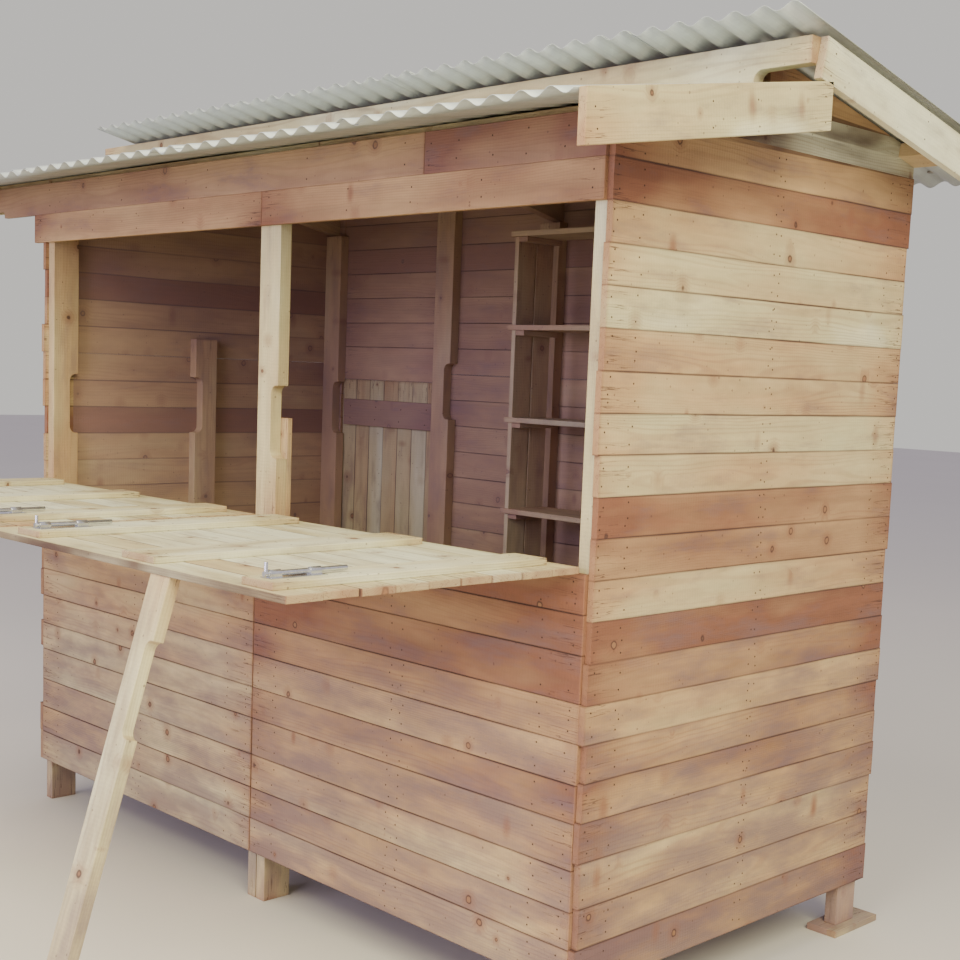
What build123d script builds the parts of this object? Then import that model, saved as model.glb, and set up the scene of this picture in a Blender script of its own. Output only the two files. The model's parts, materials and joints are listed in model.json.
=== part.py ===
from build123d import *
from math import atan, ceil, cos, pi, radians, sin, sqrt, tan
import os

# A street kiosk of reclaimed pallet timber under two corrugated roof slopes.
# Sizes are in millimetres. X runs along the front to the right, Y runs from the
# front into the kiosk, and Z is up from the ground. The origin is on the ground
# at the middle of the footprint, with the roof and the prop counted in.

# Timber
rail_t = 36.0        # thickness of a pallet rail, used for posts, studs and rafters
rail_d = 88.0        # depth of a pallet rail
board_t = 16.0       # thickness of the cladding boards
notch_l = 192.0      # length of the fork notch in a pallet rail
notch_d = 29.0       # depth of that notch
notch_r = 22.0       # radius of its inner corners
notch_round = 0.8    # corner radius of a shallower notch, as a share of its depth
notch_low = 300.0    # start of a post's lower notch, above its foot
notch_high = 1226.0  # start of its upper notch
butt = 1.5           # gap where two lengths of a board meet

# Walls
wall_w = 2400.0      # width over the side cladding
wall_d = 1200.0      # depth over the front and back cladding
foot_h = 135.0       # open height under the cladding
counter_z = 1058.0   # top of the low front wall
header_z = 1836.0    # underside of the header over the serving openings
header_h = 88.0      # height of the header
header_out = 50.0    # reach of the header past the left wall
header_shift = 4.0   # distance of the header's joint from the seam of the low wall
fascia_h = 96.0      # height of the fascia over the header
fascia_joint = 570.0  # distance of the fascia's butt joint from the right wall
fascia_notch_w = 140.0
fascia_notch_h = 22.0
seam_gap = 2.0       # gap between the two panels of the low wall
mid_post_in = 25.0   # distance of the middle post's left side from that seam
rail_pair_gap = 4.0  # gap between the two rails under the middle post
backer_h = 275.0     # height of the board behind the middle post
side_stud_top = 1551.0

# Roof
front_slope = atan(0.171)   # the front sheets rise to the back
rear_slope = atan(0.2075)   # the rear sheets fall to the back
front_eave = 290.0   # reach of the front sheets past the front wall
rear_eave = 265.0    # reach of the rear sheets past the back wall
rear_left = 270.0    # reach of the rear sheets past the left wall
right_verge = 180.0  # reach of the verge boards past the right wall
purlin_out = 420.0   # reach of the upper purlin and the front sheets past the left wall
ridge_y = 465.0      # front face of the upper purlin, behind the front wall
front_lip = 180.0    # reach of the rear sheets in front of the upper purlin
front_roof_z = 2032.5  # underside of the front sheets at the front wall
sheet_t = 1.5        # thickness of the corrugated steel
wave_pitch = 76.2    # spacing of the corrugations
wave_h = 17.0        # height of the corrugations
wave_steps = 6       # facets of one half wave, an even number
verge_board_d = 94.0  # width of the verge boards
verge_board_t = 20.0  # thickness of the verge boards
verge_in = 15.0      # distance of the front verge boards' lower ends from the sheets' edge
verge_back = 4.0     # distance of the right rear verge board's end from the upper purlin's back
slope_gap = 1.0      # gap between the front sheets and that board
step_gap = 6.0       # distance of the gable's step from the top of the front sheets
purlin_in = 8.0      # distance of the front purlin from the posts' front faces
purlin_end = 2.0     # distance of the second purlin from the top of the front sheets
upper_notch_starts = (330.0, 1100.0)   # notches of the upper purlin, from its left end
upper_notch_backs = (660.0, 147.5)     # its other notches, back from its right end
rafter_lap = 120.0   # lap of the front rafters beside the rear ones

# Flaps
flap_t = 15.0        # thickness of the flap boards
clear = 5.0          # running clearance of the flaps and the door
flap_gap = 10.0      # gap between the two flaps
seat_gap = 0.1       # gap under a rail that lies on the crests of the sheets
batten_t = 15.0      # thickness of a flap batten
batten_back = 40.0   # distance of a batten's rear end from the flap's rear edge
batten_front = 14.0  # distance of a batten's front end from the flap's front edge
batten_middles = {   # middles of the battens, as shares of the flap's width
    "left": (0.154, 0.527, 0.895),
    "right": (0.160, 0.556, 0.907),
}
batten_widths = {
    "left": (92.0, 92.0, 100.0),
    "right": (100.0, 120.0, 95.0),
}
hinge_inset = 320.0  # distance of the outer hinges' middles from the flap's ends
hinge_r = 4.0        # radius of the hinge barrels
hinge_plate_t = 2.0  # thickness of the moving hinge leaves
fixed_plate_t = 2.5  # thickness of the fixed hinge leaves
barrel_sink = 0.5    # depth of the barrels in the fixed leaves
hinge_l = 90.0       # length of one hinge
hinge_leaf = 42.0    # width of a hinge leaf
hinge_play = 0.3     # gap between a barrel and the moving leaf

# Barrel bolts
bolt_plate_l = 130.0
bolt_plate_w = 34.0
bolt_plate_t = 1.5
bolt_inset = 34.0    # distance of the plate from the flap's front edge
bolt_end = 6.0       # distance of a guide from the plate's end
bolt_rod_r = 5.0
bolt_rod_l = 192.0
bolt_nose = 5.0      # reach of the rod's nose in front of its knob
bolt_play = 0.3      # radial play of the rod in its guides
bolt_knob_r = 3.5
bolt_knob_h = 22.0
guide_l = 26.0       # length of a guide
guide_wall = 1.6     # wall of a guide

# Props
prop_w = 69.0
prop_t = 26.0
prop_in = 396.0      # distance of a prop from the side wall's outer face
prop_inset = 30.0    # distance of the prop's head from the flap's front edge
prop_lean = radians(16.6)
prop_notches = (135.0, 760.0)   # starts of the prop's notches, down from its head
prop_notch_d = 22.0

# Door in the back wall
door_z = 1430.0      # top of the doorway
door_w = 525.0       # clear width between the corner post and the door post
door_lap = 20.0      # lap of the doorway's edge over the posts
door_clear = 6.0     # gap round the edges of the door leaf
leaf_t = 15.0
ledge_w = 96.0
ledge_t = 18.0
ledge_side = 12.0    # distance of the ledges from the posts
ledge_top = 1357.0   # upper edge of the upper ledge
low_ledge = 200.0    # upper edge of the lower ledge, above the foot of the leaf
door_post_notch = 1307.0        # start of the door post's upper notch

# Floor
deck_t = 16.0

# Shelves
shelf_w = 1170.0     # width of the shelf unit, from the inside of the right wall
shelf_d = 245.0      # depth of the shelf unit, from the back cladding
shelf_t = 16.0       # thickness of a shelf
shelf_top = 1907.0   # top of the highest shelf
shelf_step = 284.0   # height from shelf to shelf
shelf_count = 6
shelf_lip = 10.0     # reach of the shelves past the uprights
slat_t = 16.0        # thickness of the shelf uprights
slat_w = 76.0        # width of the shelf uprights
cleat_w = 36.0       # width of the cleats under the shelves

# Short timber pad under the back right foot
pad_l = 210.0
pad_w = 90.0
pad_t = 18.0
pad_left = 63.0      # reach of the pad to the left of the side cladding's inner face
pad_front = 130.0    # reach of the pad in front of the back cladding

# Lines that follow from the sizes above
flap_l = header_z - counter_z - 2 * clear
flap_z = counter_z + hinge_plate_t                   # underside of the open flaps
hinge_y = barrel_sink - hinge_r - fixed_plate_t      # hinge axis, from the front wall
flap_rear = clear - hinge_y                          # rear edge, in front of the wall
prop_head = flap_rear + flap_l - prop_inset
prop_reach = prop_head + flap_z * tan(prop_lean) + prop_t / cos(prop_lean)

half_wave = wave_pitch / 2
front_waves = int((purlin_out + wall_w + right_verge - verge_board_t) / half_wave)
front_right = front_waves * half_wave - purlin_out - wall_w   # reach of the front sheets to the right
rear_waves = ceil((rear_left + wall_w + front_right + verge_board_t) / half_wave)
rear_right = rear_waves * half_wave - rear_left - wall_w   # reach of the rear sheets to the right
x_left = -(wall_w + purlin_out + rear_right) / 2 + purlin_out
x_right = x_left + wall_w
y_front = -(prop_reach + wall_d + rear_eave) / 2 + prop_reach
y_back = y_front + wall_d
y_post = y_front + board_t          # front faces of the posts
y_inner = y_back - board_t          # inner face of the back cladding
x_in_left = x_left + board_t        # inner faces of the side cladding
x_in_right = x_right - board_t
x_seam = x_right - wall_w / 2       # seam between the two pallet widths
x_mid_post = x_seam - mid_post_in   # left side of the middle post

y_ridge = y_front + ridge_y
ridge_back = y_ridge + rail_t


def front_z(y):
    """Underside of the front sheets at a depth y."""
    return front_roof_z + (y - y_front) * tan(front_slope)


upper_purlin_z = front_z(ridge_back) + (wave_h + sheet_t) / cos(front_slope) + seat_gap
rear_roof_z = upper_purlin_z + rail_d


def rear_z(y):
    """Underside of the rear sheets at a depth y."""
    return rear_roof_z - (y - ridge_back) * tan(rear_slope)


os.makedirs("parts", exist_ok=True)


def save(piece, name):
    """Label a finished piece and write its STEP file."""
    piece.part.label = name
    export_step(piece.part, f"parts/{name}.step")


def rail(plane, length, notches=()):
    """A pallet rail along the plane's X, with notches in its far edge at the given starts."""
    with BuildSketch(plane) as outline:
        Rectangle(length, rail_d, align=(Align.MIN, Align.MIN))
        for start in notches:
            with Locations((start + notch_l / 2, rail_d)):
                RectangleRounded(notch_l, 2 * notch_d, notch_r, mode=Mode.SUBTRACT)
    extrude(outline.sketch, amount=rail_t)


def upright(x, y, z, normal):
    """A plane for a rail that stands up from a point, with its thickness along the normal."""
    return Plane(origin=(x, y, z), x_dir=(0, 0, 1), z_dir=normal)


def block(x, y, z, size_x, size_y, size_z):
    """A squared piece from its lowest corner."""
    with Locations((x, y, z)):
        Box(size_x, size_y, size_z, align=(Align.MIN, Align.MIN, Align.MIN))


LEFTWARD = (-1, 0, 0)
RIGHTWARD = (1, 0, 0)
INWARD = (0, 1, 0)

# Lines of the roof timber that the walls are cut to
front_seat = rail_t / cos(front_slope)   # plumb depth of a flat purlin under the sheets
rear_seat = rail_t / cos(rear_slope)
front_rafter_d = rail_d / cos(front_slope)
rear_rafter_d = rail_d / cos(rear_slope)
verge_plumb = verge_board_d / cos(rear_slope)
verge_top_y = ridge_back - verge_back    # upper end of the right rear verge board

# The front slope ends where the lower edge of the rear verge board crosses it.
front_top_y = (
    rear_z(0) - verge_plumb - front_roof_z + y_front * tan(front_slope)
) / (tan(front_slope) + tan(rear_slope))
front_top_y -= slope_gap
step_y = front_top_y + step_gap
eave_y = y_front - front_eave
rear_front_y = y_ridge - front_lip
rear_end_y = y_back + rear_eave
front_left = x_left - purlin_out
rear_sheet_left = x_left - rear_left
purlin_right = x_right + front_right
front_purlin_left = front_left + verge_board_t
rear_purlin_left = rear_sheet_left + verge_board_t
front_purlin_y = y_post + purlin_in
ridge_purlin_y = front_top_y - rail_d - purlin_end
back_purlin_y = y_back - rail_d * cos(rear_slope) + rail_t * sin(rear_slope)


def flat_purlin(y, slope, x_start, x_end, mode=Mode.ADD):
    """A rail laid flat under the sheets, with its front edge at y."""
    z = front_z(y) if slope > 0 else rear_z(y)
    plane = Plane(origin=(x_start, y, z), x_dir=(1, 0, 0), z_dir=(0, -sin(slope), cos(slope)))
    with BuildSketch(plane) as outline:
        Rectangle(x_end - x_start, rail_d, align=(Align.MIN, Align.MIN))
    extrude(outline.sketch, amount=-rail_t, mode=mode)


def front_purlin(y, mode=Mode.ADD):
    flat_purlin(y, front_slope, front_purlin_left, purlin_right, mode)


def back_purlin(mode=Mode.ADD):
    flat_purlin(back_purlin_y, -rear_slope, rear_purlin_left, purlin_right, mode)


# Posts. Their feet reach the ground, and the back right one stands on the pad.
front_post_top = front_z(y_post) - front_seat
back_post_top = rear_z(y_inner) - rear_seat - rear_rafter_d

with BuildPart() as front_posts:
    for x in (x_in_left + rail_t, x_in_right):
        rail(upright(x, y_post, 0, LEFTWARD), front_post_top, (notch_low, notch_high))
save(front_posts, "front_posts")

with BuildPart() as back_left_post:
    rail(upright(x_in_left, y_inner - rail_t, 0, INWARD), back_post_top, (notch_low, notch_high))
save(back_left_post, "back_left_post")

with BuildPart() as back_right_post:
    rail(upright(x_in_right - rail_t, y_inner, pad_t, RIGHTWARD), back_post_top - pad_t)
save(back_right_post, "back_right_post")

with BuildPart() as foot_pad:
    block(x_in_right - pad_left, y_inner - pad_front, 0, pad_w, pad_l, pad_t)
save(foot_pad, "foot_pad")

# Middle of the front: two pallet rails up to the counter, the notched post above
# them and a short board flat behind it.
mid_pair_right = x_mid_post + 2 * rail_t + rail_pair_gap
with BuildPart() as middle_rails:
    for x in (x_mid_post + rail_t, mid_pair_right):
        rail(upright(x, y_post, 0, LEFTWARD), counter_z)
save(middle_rails, "middle_rails")

with BuildPart() as middle_post:
    rail(upright(x_mid_post, y_post, counter_z, INWARD), front_post_top - counter_z,
         (notch_high - counter_z,))
save(middle_post, "middle_post")

with BuildPart() as middle_post_backer:
    block(x_mid_post, y_post + rail_t, counter_z, rail_d, board_t, backer_h)
save(middle_post_backer, "middle_post_backer")

# Rails along the top of the low front wall, from post to post, and studs under them.
bay_ends = (
    (x_in_left + rail_t, x_mid_post),
    (mid_pair_right, x_in_right - rail_t),
)
with BuildPart() as counter_rails:
    for start, end in bay_ends:
        block(start, y_post, counter_z - rail_d, end - start, rail_t, rail_d)
save(counter_rails, "counter_rails")

with BuildPart() as front_studs:
    for start, end in bay_ends:
        block((start + end - rail_d) / 2, y_post, foot_h,
              rail_d, rail_t, counter_z - rail_d - foot_h)
save(front_studs, "front_studs")

# Cladding of the low front wall, in two pallet widths between the side walls' edges.
with BuildPart() as front_panel_left:
    block(x_in_left, y_front, foot_h,
          x_seam - seam_gap / 2 - x_in_left, board_t, counter_z - foot_h)
save(front_panel_left, "front_panel_left")

with BuildPart() as front_panel_right:
    block(x_seam + seam_gap / 2, y_front, foot_h,
          x_in_right - x_seam - seam_gap / 2, board_t, counter_z - foot_h)
save(front_panel_right, "front_panel_right")

# Studs halfway along the side walls, with their notches to the front.
side_stud_y = (y_front + y_back + rail_d) / 2
with BuildPart() as side_studs:
    for x in (x_in_left, x_in_right - rail_t):
        rail(upright(x, side_stud_y, foot_h, RIGHTWARD), side_stud_top - foot_h,
             (notch_low, notch_high - foot_h))
save(side_studs, "side_studs")


# Side cladding up to the roof, with the purlins let through it. The gable steps up
# where the rear sheets rise over the front ones. The boards' front ends close the
# corners, on the left only up to the header that runs past them.
def side_wall(x, upper_y):
    """Cladding of one side wall, from the outer face at x. Over the serving openings
    its front edge is at upper_y."""
    corners = [
        (y_front, foot_h),
        (y_back, foot_h),
        (y_back, rear_z(y_back)),
        (step_y, rear_z(step_y)),
        (step_y, front_z(step_y)),
        (upper_y, front_z(upper_y)),
    ]
    if upper_y > y_front:
        corners += [(upper_y, header_z), (y_front, header_z)]
    with BuildSketch(Plane.YZ.offset(x)) as outline:
        with BuildLine():
            Polyline(*corners, close=True)
        make_face()
    extrude(outline.sketch, amount=board_t)
    front_purlin(front_purlin_y, Mode.SUBTRACT)
    front_purlin(ridge_purlin_y, Mode.SUBTRACT)
    back_purlin(Mode.SUBTRACT)


with BuildPart() as left_wall:
    side_wall(x_left, y_post)
save(left_wall, "left_wall")

with BuildPart() as right_wall:
    side_wall(x_in_right, y_front)
save(right_wall, "right_wall")

# Back wall, split round the doorway that stands beside the back left post.
door_left = x_in_left + rail_d
door_right = door_left + door_w
leaf_left = door_left - door_lap + door_clear
leaf_right = door_right + door_lap - door_clear
gap_left = leaf_left - door_clear
gap_right = leaf_right + door_clear
floor_z = foot_h + rail_d + deck_t
wall_top = rear_z(y_back) - rear_seat

with BuildPart() as back_wall_left:
    block(x_in_left, y_inner, foot_h, gap_left - x_in_left, board_t, wall_top - foot_h)
save(back_wall_left, "back_wall_left")

with BuildPart() as back_wall_right:
    block(gap_right, y_inner, foot_h, x_in_right - gap_right, board_t, wall_top - foot_h)
save(back_wall_right, "back_wall_right")

with BuildPart() as back_wall_over_door:
    block(gap_left, y_inner, door_z, gap_right - gap_left, board_t, wall_top - door_z)
save(back_wall_over_door, "back_wall_over_door")

with BuildPart() as door_sill:
    block(gap_left, y_inner, foot_h, gap_right - gap_left, board_t, floor_z - foot_h)
save(door_sill, "door_sill")

# The door post and the stud beside the shelves, flat against the back cladding.
flat_post_top = rear_z(y_inner) - rear_seat
with BuildPart() as door_post:
    rail(upright(door_right, y_inner - rail_t, 0, INWARD), flat_post_top,
         (notch_low, door_post_notch))
save(door_post, "door_post")

shelf_left = x_in_right - shelf_w
back_stud_x = shelf_left - shelf_lip - rail_d
with BuildPart() as back_stud:
    rail(upright(back_stud_x, y_inner - rail_t, 0, INWARD), back_post_top)
save(back_stud, "back_stud")

# Floor: three joists from wall to wall and a deck cut round the posts.
joist_back_y = y_inner - rail_d - rail_t
with BuildPart() as floor_joists:
    for y in (y_post + rail_d, side_stud_y, joist_back_y):
        block(x_in_left, y, foot_h, x_in_right - x_in_left, rail_t, rail_d)
save(floor_joists, "floor_joists")

deck_y = y_post + rail_t
post_feet = (
    (x_in_left, y_post, rail_t, rail_d),
    (x_in_right - rail_t, y_post, rail_t, rail_d),
    (x_mid_post, y_post, mid_pair_right - x_mid_post, rail_d),
    (x_in_left, side_stud_y - rail_d, rail_t, rail_d),
    (x_in_right - rail_t, side_stud_y - rail_d, rail_t, rail_d),
    (x_in_left, y_inner - rail_t, rail_d, rail_t),
    (door_right, y_inner - rail_t, rail_d, rail_t),
    (back_stud_x, y_inner - rail_t, rail_d, rail_t),
    (x_in_right - rail_t, y_inner - rail_d, rail_t, rail_d),
)
with BuildPart() as floor_deck:
    with BuildSketch(Plane.XY.offset(foot_h + rail_d)):
        with Locations((x_in_left, deck_y)):
            Rectangle(x_in_right - x_in_left, y_inner - deck_y, align=(Align.MIN, Align.MIN))
        for x, y, size_x, size_y in post_feet:
            with Locations((x, y)):
                Rectangle(size_x, size_y, align=(Align.MIN, Align.MIN), mode=Mode.SUBTRACT)
    extrude(amount=deck_t)
save(floor_deck, "floor_deck")

# Header and fascia, each in two lengths that butt. The fascia is a pallet rail with
# a notch near its left end.
header_joint = x_seam - header_shift
with BuildPart() as header:
    block(x_left - header_out, y_front, header_z,
          header_joint - butt / 2 - (x_left - header_out), board_t, header_h)
    block(header_joint + butt / 2, y_front, header_z,
          x_in_right - header_joint - butt / 2, board_t, header_h)
save(header, "header")

fascia_z = header_z + header_h
fascia_split = x_right - fascia_joint
with BuildPart() as fascia:
    block(front_purlin_left, y_front, fascia_z,
          fascia_split - butt / 2 - front_purlin_left, board_t, fascia_h)
    with BuildSketch(Plane.XZ.offset(-y_front)):
        with Locations((front_purlin_left, fascia_z)):
            RectangleRounded(
                2 * fascia_notch_w, 2 * fascia_notch_h, notch_round * fascia_notch_h
            )
    extrude(amount=-board_t, mode=Mode.SUBTRACT)
    block(fascia_split + butt / 2, y_front, fascia_z,
          x_in_right - fascia_split - butt / 2, board_t, fascia_h)
save(fascia, "fascia")


# Rafters. The front ones lap the rear ones side by side.
def rafter(x, start_y, end_y, seat, depth, line):
    """A rafter on edge under the purlins, cut plumb at both ends."""
    with BuildSketch(Plane.YZ.offset(x)) as outline:
        with BuildLine():
            Polyline(
                (start_y, line(start_y) - seat - depth),
                (end_y, line(end_y) - seat - depth),
                (end_y, line(end_y) - seat),
                (start_y, line(start_y) - seat),
                close=True,
            )
        make_face()
    extrude(outline.sketch, amount=rail_t)


middle_rafter_x = back_stud_x + rail_t
with BuildPart() as front_rafters:
    for x, start_y in (
        (x_in_left + rail_t, y_post),
        (middle_rafter_x + rail_t, y_post + rail_t),
        (x_in_right - 2 * rail_t, y_post),
    ):
        rafter(x, start_y, step_y + rafter_lap, front_seat, front_rafter_d, front_z)
save(front_rafters, "front_rafters")

with BuildPart() as rear_rafters:
    for x in (x_in_left, middle_rafter_x, x_in_right - rail_t):
        rafter(x, step_y, y_inner, rear_seat, rear_rafter_d, rear_z)
save(rear_rafters, "rear_rafters")

# Purlins. The flat ones lie on the rafters, and the upper one stands on the front sheets.
with BuildPart() as front_purlins:
    front_purlin(front_purlin_y)
    front_purlin(ridge_purlin_y)
save(front_purlins, "front_purlins")

with BuildPart() as rear_purlin:
    back_purlin()
save(rear_purlin, "back_purlin")

upper_l = purlin_right - front_left
upper_notches = list(upper_notch_starts) + [upper_l - back for back in upper_notch_backs]
with BuildPart() as upper_purlin:
    rail(Plane(origin=(front_left, y_ridge, rear_roof_z), x_dir=(1, 0, 0), z_dir=INWARD),
         upper_l, upper_notches)
save(upper_purlin, "upper_purlin")


# Corrugated roof sheets, rolled in short straight facets
def wave_line(count, level):
    """Points across a sheet of so many half waves, with its troughs at the level."""
    return [
        (i * half_wave / wave_steps, level + wave_h / 2 * (1 + sin(pi * i / wave_steps)))
        for i in range(count * wave_steps + 1)
    ]


def corrugated(plane, length, count):
    """Corrugated steel along the plane's normal, with half waves along the plane's X."""
    with BuildSketch(plane) as outline:
        with BuildLine():
            Polyline(*wave_line(count, 0), *reversed(wave_line(count, sheet_t)), close=True)
        make_face()
    extrude(outline.sketch, amount=length)


with BuildPart() as front_sheets:
    corrugated(
        Plane(
            origin=(front_left, front_top_y, front_z(front_top_y)),
            x_dir=(1, 0, 0),
            z_dir=(0, -cos(front_slope), -sin(front_slope)),
        ),
        (front_top_y - eave_y) / cos(front_slope),
        front_waves,
    )
save(front_sheets, "front_sheets")

with BuildPart() as rear_sheets:
    corrugated(
        Plane(
            origin=(rear_sheet_left, rear_end_y, rear_z(rear_end_y)),
            x_dir=(1, 0, 0),
            z_dir=(0, -cos(rear_slope), sin(rear_slope)),
        ),
        (rear_end_y - rear_front_y) / cos(rear_slope),
        rear_waves,
    )
save(rear_sheets, "rear_sheets")


# Verge boards close the purlin ends under the sheets.
def front_verge(x):
    """A verge board along the front slope, cut plumb at both ends."""
    start_y = eave_y + verge_in
    with BuildSketch(Plane.YZ.offset(x)) as outline:
        with BuildLine():
            Polyline(
                (start_y, front_z(start_y) - verge_board_d),
                (front_top_y, front_z(front_top_y) - verge_board_d),
                (front_top_y, front_z(front_top_y)),
                (start_y, front_z(start_y)),
                close=True,
            )
        make_face()
    extrude(outline.sketch, amount=verge_board_t)


def rear_verge(x, start_y):
    """A verge board under the rear sheets, cut square to the slope at its upper end."""
    length = (rear_end_y - start_y) / cos(rear_slope)
    plane = Plane(
        origin=(x, start_y, rear_z(start_y)),
        x_dir=(0, cos(rear_slope), -sin(rear_slope)),
        z_dir=(1, 0, 0),
    )
    with BuildSketch(plane) as outline:
        Rectangle(length, verge_board_d, align=(Align.MIN, Align.MAX))
    extrude(outline.sketch, amount=verge_board_t)


with BuildPart() as front_verges:
    front_verge(front_left)
    front_verge(purlin_right)
save(front_verges, "front_verges")

rear_verge_shift = verge_board_d * sin(rear_slope)
with BuildPart() as rear_verges:
    rear_verge(rear_sheet_left, step_y + rear_verge_shift)
    rear_verge(purlin_right, verge_top_y)
save(rear_verges, "rear_verges")

# Flaps, shown dropped open. Each is a skin of boards on three battens.
x_flap_split = x_mid_post + rail_d / 2
flap_spans = {
    "left": (x_in_left + clear, x_flap_split - flap_gap / 2),
    "right": (x_flap_split + flap_gap / 2, x_in_right - clear),
}
flap_y = y_front - flap_rear - flap_l
batten_l = flap_l - batten_back - batten_front
batten_z = flap_z + flap_t
batten_top = batten_z + batten_t


def batten_centres(side):
    """Middles of the three battens of one flap."""
    start, end = flap_spans[side]
    return [start + share * (end - start) for share in batten_middles[side]]


def hinge_centres(side):
    """Places of the three hinges of one flap."""
    start, end = flap_spans[side]
    return (start + hinge_inset, (start + end) / 2, end - hinge_inset)


def flap_boards(side):
    """The skin of one flap."""
    start, end = flap_spans[side]
    block(start, flap_y, flap_z, end - start, flap_l, flap_t)


def flap_battens(side):
    """The battens across the boards of one flap."""
    for x, width in zip(batten_centres(side), batten_widths[side]):
        block(x - width / 2, flap_y + batten_front, batten_z, width, batten_l, batten_t)


def flap_leaves(side):
    """The moving hinge leaves under one flap."""
    for x in hinge_centres(side):
        block(x - hinge_l / 2, y_front + hinge_y - hinge_leaf, counter_z,
              hinge_l, hinge_leaf - hinge_r - hinge_play, hinge_plate_t)


with BuildPart() as right_flap:
    flap_boards("right")
save(right_flap, "right_flap")

with BuildPart() as left_flap:
    flap_boards("left")
save(left_flap, "left_flap")

with BuildPart() as right_flap_battens:
    flap_battens("right")
save(right_flap_battens, "right_flap_battens")

with BuildPart() as left_flap_battens:
    flap_battens("left")
save(left_flap_battens, "left_flap_battens")

with BuildPart() as right_flap_leaves:
    flap_leaves("right")
save(right_flap_leaves, "right_flap_leaves")

with BuildPart() as left_flap_leaves:
    flap_leaves("left")
save(left_flap_leaves, "left_flap_leaves")

# Fixed hinge leaves on the front cladding, with their barrels.
with BuildPart() as flap_hinges:
    for centre in hinge_centres("left") + hinge_centres("right"):
        start = centre - hinge_l / 2
        block(start, y_front - fixed_plate_t, counter_z - hinge_leaf,
              hinge_l, fixed_plate_t, hinge_leaf)
        with BuildSketch(Plane.YZ.offset(start)):
            with Locations((y_front + hinge_y, counter_z)):
                Circle(hinge_r)
        extrude(amount=hinge_l)
save(flap_hinges, "flap_hinges")

# Barrel bolts on the outer battens, drawn back until their knobs are at the front
# guides. Their rods shoot forward past the flap's front edge, which is up behind the
# header once a flap is closed.
guide_r = bolt_rod_r + bolt_play + guide_wall
bolt_rod_z = batten_top + bolt_plate_t + guide_r
bolt_plate_y = flap_y + bolt_inset


def bolt_guides(x):
    """The plate of a barrel bolt with its two guides, centred at x."""
    block(x - bolt_plate_w / 2, bolt_plate_y, batten_top,
          bolt_plate_w, bolt_plate_l, bolt_plate_t)
    for y in (bolt_plate_y + bolt_end, bolt_plate_y + bolt_plate_l - guide_l - bolt_end):
        with BuildSketch(Plane.XZ.offset(-y)) as outline:
            with Locations((x, bolt_rod_z)):
                Circle(guide_r)
            with Locations((x, bolt_rod_z - guide_r / 2)):
                Rectangle(2 * guide_r, guide_r)
            with Locations((x, bolt_rod_z)):
                Circle(bolt_rod_r + bolt_play, mode=Mode.SUBTRACT)
        extrude(outline.sketch, amount=-guide_l)


def bolt_rod(x):
    """The rod of a barrel bolt with its turned-up knob."""
    with BuildSketch(Plane.XZ.offset(bolt_nose - bolt_plate_y)) as rod:
        with Locations((x, bolt_rod_z)):
            Circle(bolt_rod_r)
    extrude(rod.sketch, amount=-bolt_rod_l)
    with BuildSketch(Plane.XY.offset(bolt_rod_z)) as knob:
        with Locations((x, bolt_plate_y)):
            Circle(bolt_knob_r)
    extrude(knob.sketch, amount=bolt_knob_h)


with BuildPart() as right_bolt_guides:
    bolt_guides(batten_centres("right")[0])
    bolt_guides(batten_centres("right")[2])
save(right_bolt_guides, "right_bolt_guides")

with BuildPart() as right_inner_bolt_rod:
    bolt_rod(batten_centres("right")[0])
save(right_inner_bolt_rod, "right_inner_bolt_rod")

with BuildPart() as right_outer_bolt_rod:
    bolt_rod(batten_centres("right")[2])
save(right_outer_bolt_rod, "right_outer_bolt_rod")

with BuildPart() as left_bolt_guides:
    bolt_guides(batten_centres("left")[0])
    bolt_guides(batten_centres("left")[2])
save(left_bolt_guides, "left_bolt_guides")

with BuildPart() as left_outer_bolt_rod:
    bolt_rod(batten_centres("left")[0])
save(left_outer_bolt_rod, "left_outer_bolt_rod")

with BuildPart() as left_inner_bolt_rod:
    bolt_rod(batten_centres("left")[2])
save(left_inner_bolt_rod, "left_inner_bolt_rod")

# Props: notched slats that lean from the ground up to the flaps.
prop_head_y = y_front - prop_head
prop_foot_y = prop_head_y - flap_z * tan(prop_lean)
prop_plumb = prop_t / cos(prop_lean)


def flap_prop(x, notch_x):
    """A prop with its left face at x and its notches in the edge at notch_x."""
    with BuildSketch(Plane.YZ.offset(x)) as outline:
        with BuildLine():
            Polyline(
                (prop_foot_y - prop_plumb, 0),
                (prop_foot_y, 0),
                (prop_head_y, flap_z),
                (prop_head_y - prop_plumb, flap_z),
                close=True,
            )
        make_face()
    extrude(outline.sketch, amount=prop_w)
    face = Plane(
        origin=(notch_x, prop_head_y, flap_z),
        x_dir=(0, -sin(prop_lean), -cos(prop_lean)),
        z_dir=(0, -cos(prop_lean), sin(prop_lean)),
    )
    with BuildSketch(face) as notches:
        for start in prop_notches:
            with Locations((start + notch_l / 2, 0)):
                RectangleRounded(notch_l, 2 * prop_notch_d, notch_round * prop_notch_d)
    extrude(notches.sketch, amount=2 * prop_t, both=True, mode=Mode.SUBTRACT)


with BuildPart() as right_prop:
    right_prop_x = x_right - prop_in - prop_w
    flap_prop(right_prop_x, right_prop_x + prop_w)
save(right_prop, "right_prop")

with BuildPart() as left_prop:
    flap_prop(x_left + prop_in, x_left + prop_in)
save(left_prop, "left_prop")

# Door leaf of upright boards on two ledges, hung on the door post side.
leaf_y = y_inner + clear
leaf_bottom = floor_z + door_clear
ledge_tops = (ledge_top, leaf_bottom + low_ledge)
with BuildPart() as door_leaf:
    block(leaf_left, leaf_y, leaf_bottom, leaf_right - leaf_left, leaf_t,
          door_z - door_clear - leaf_bottom)
save(door_leaf, "door_leaf")

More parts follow.
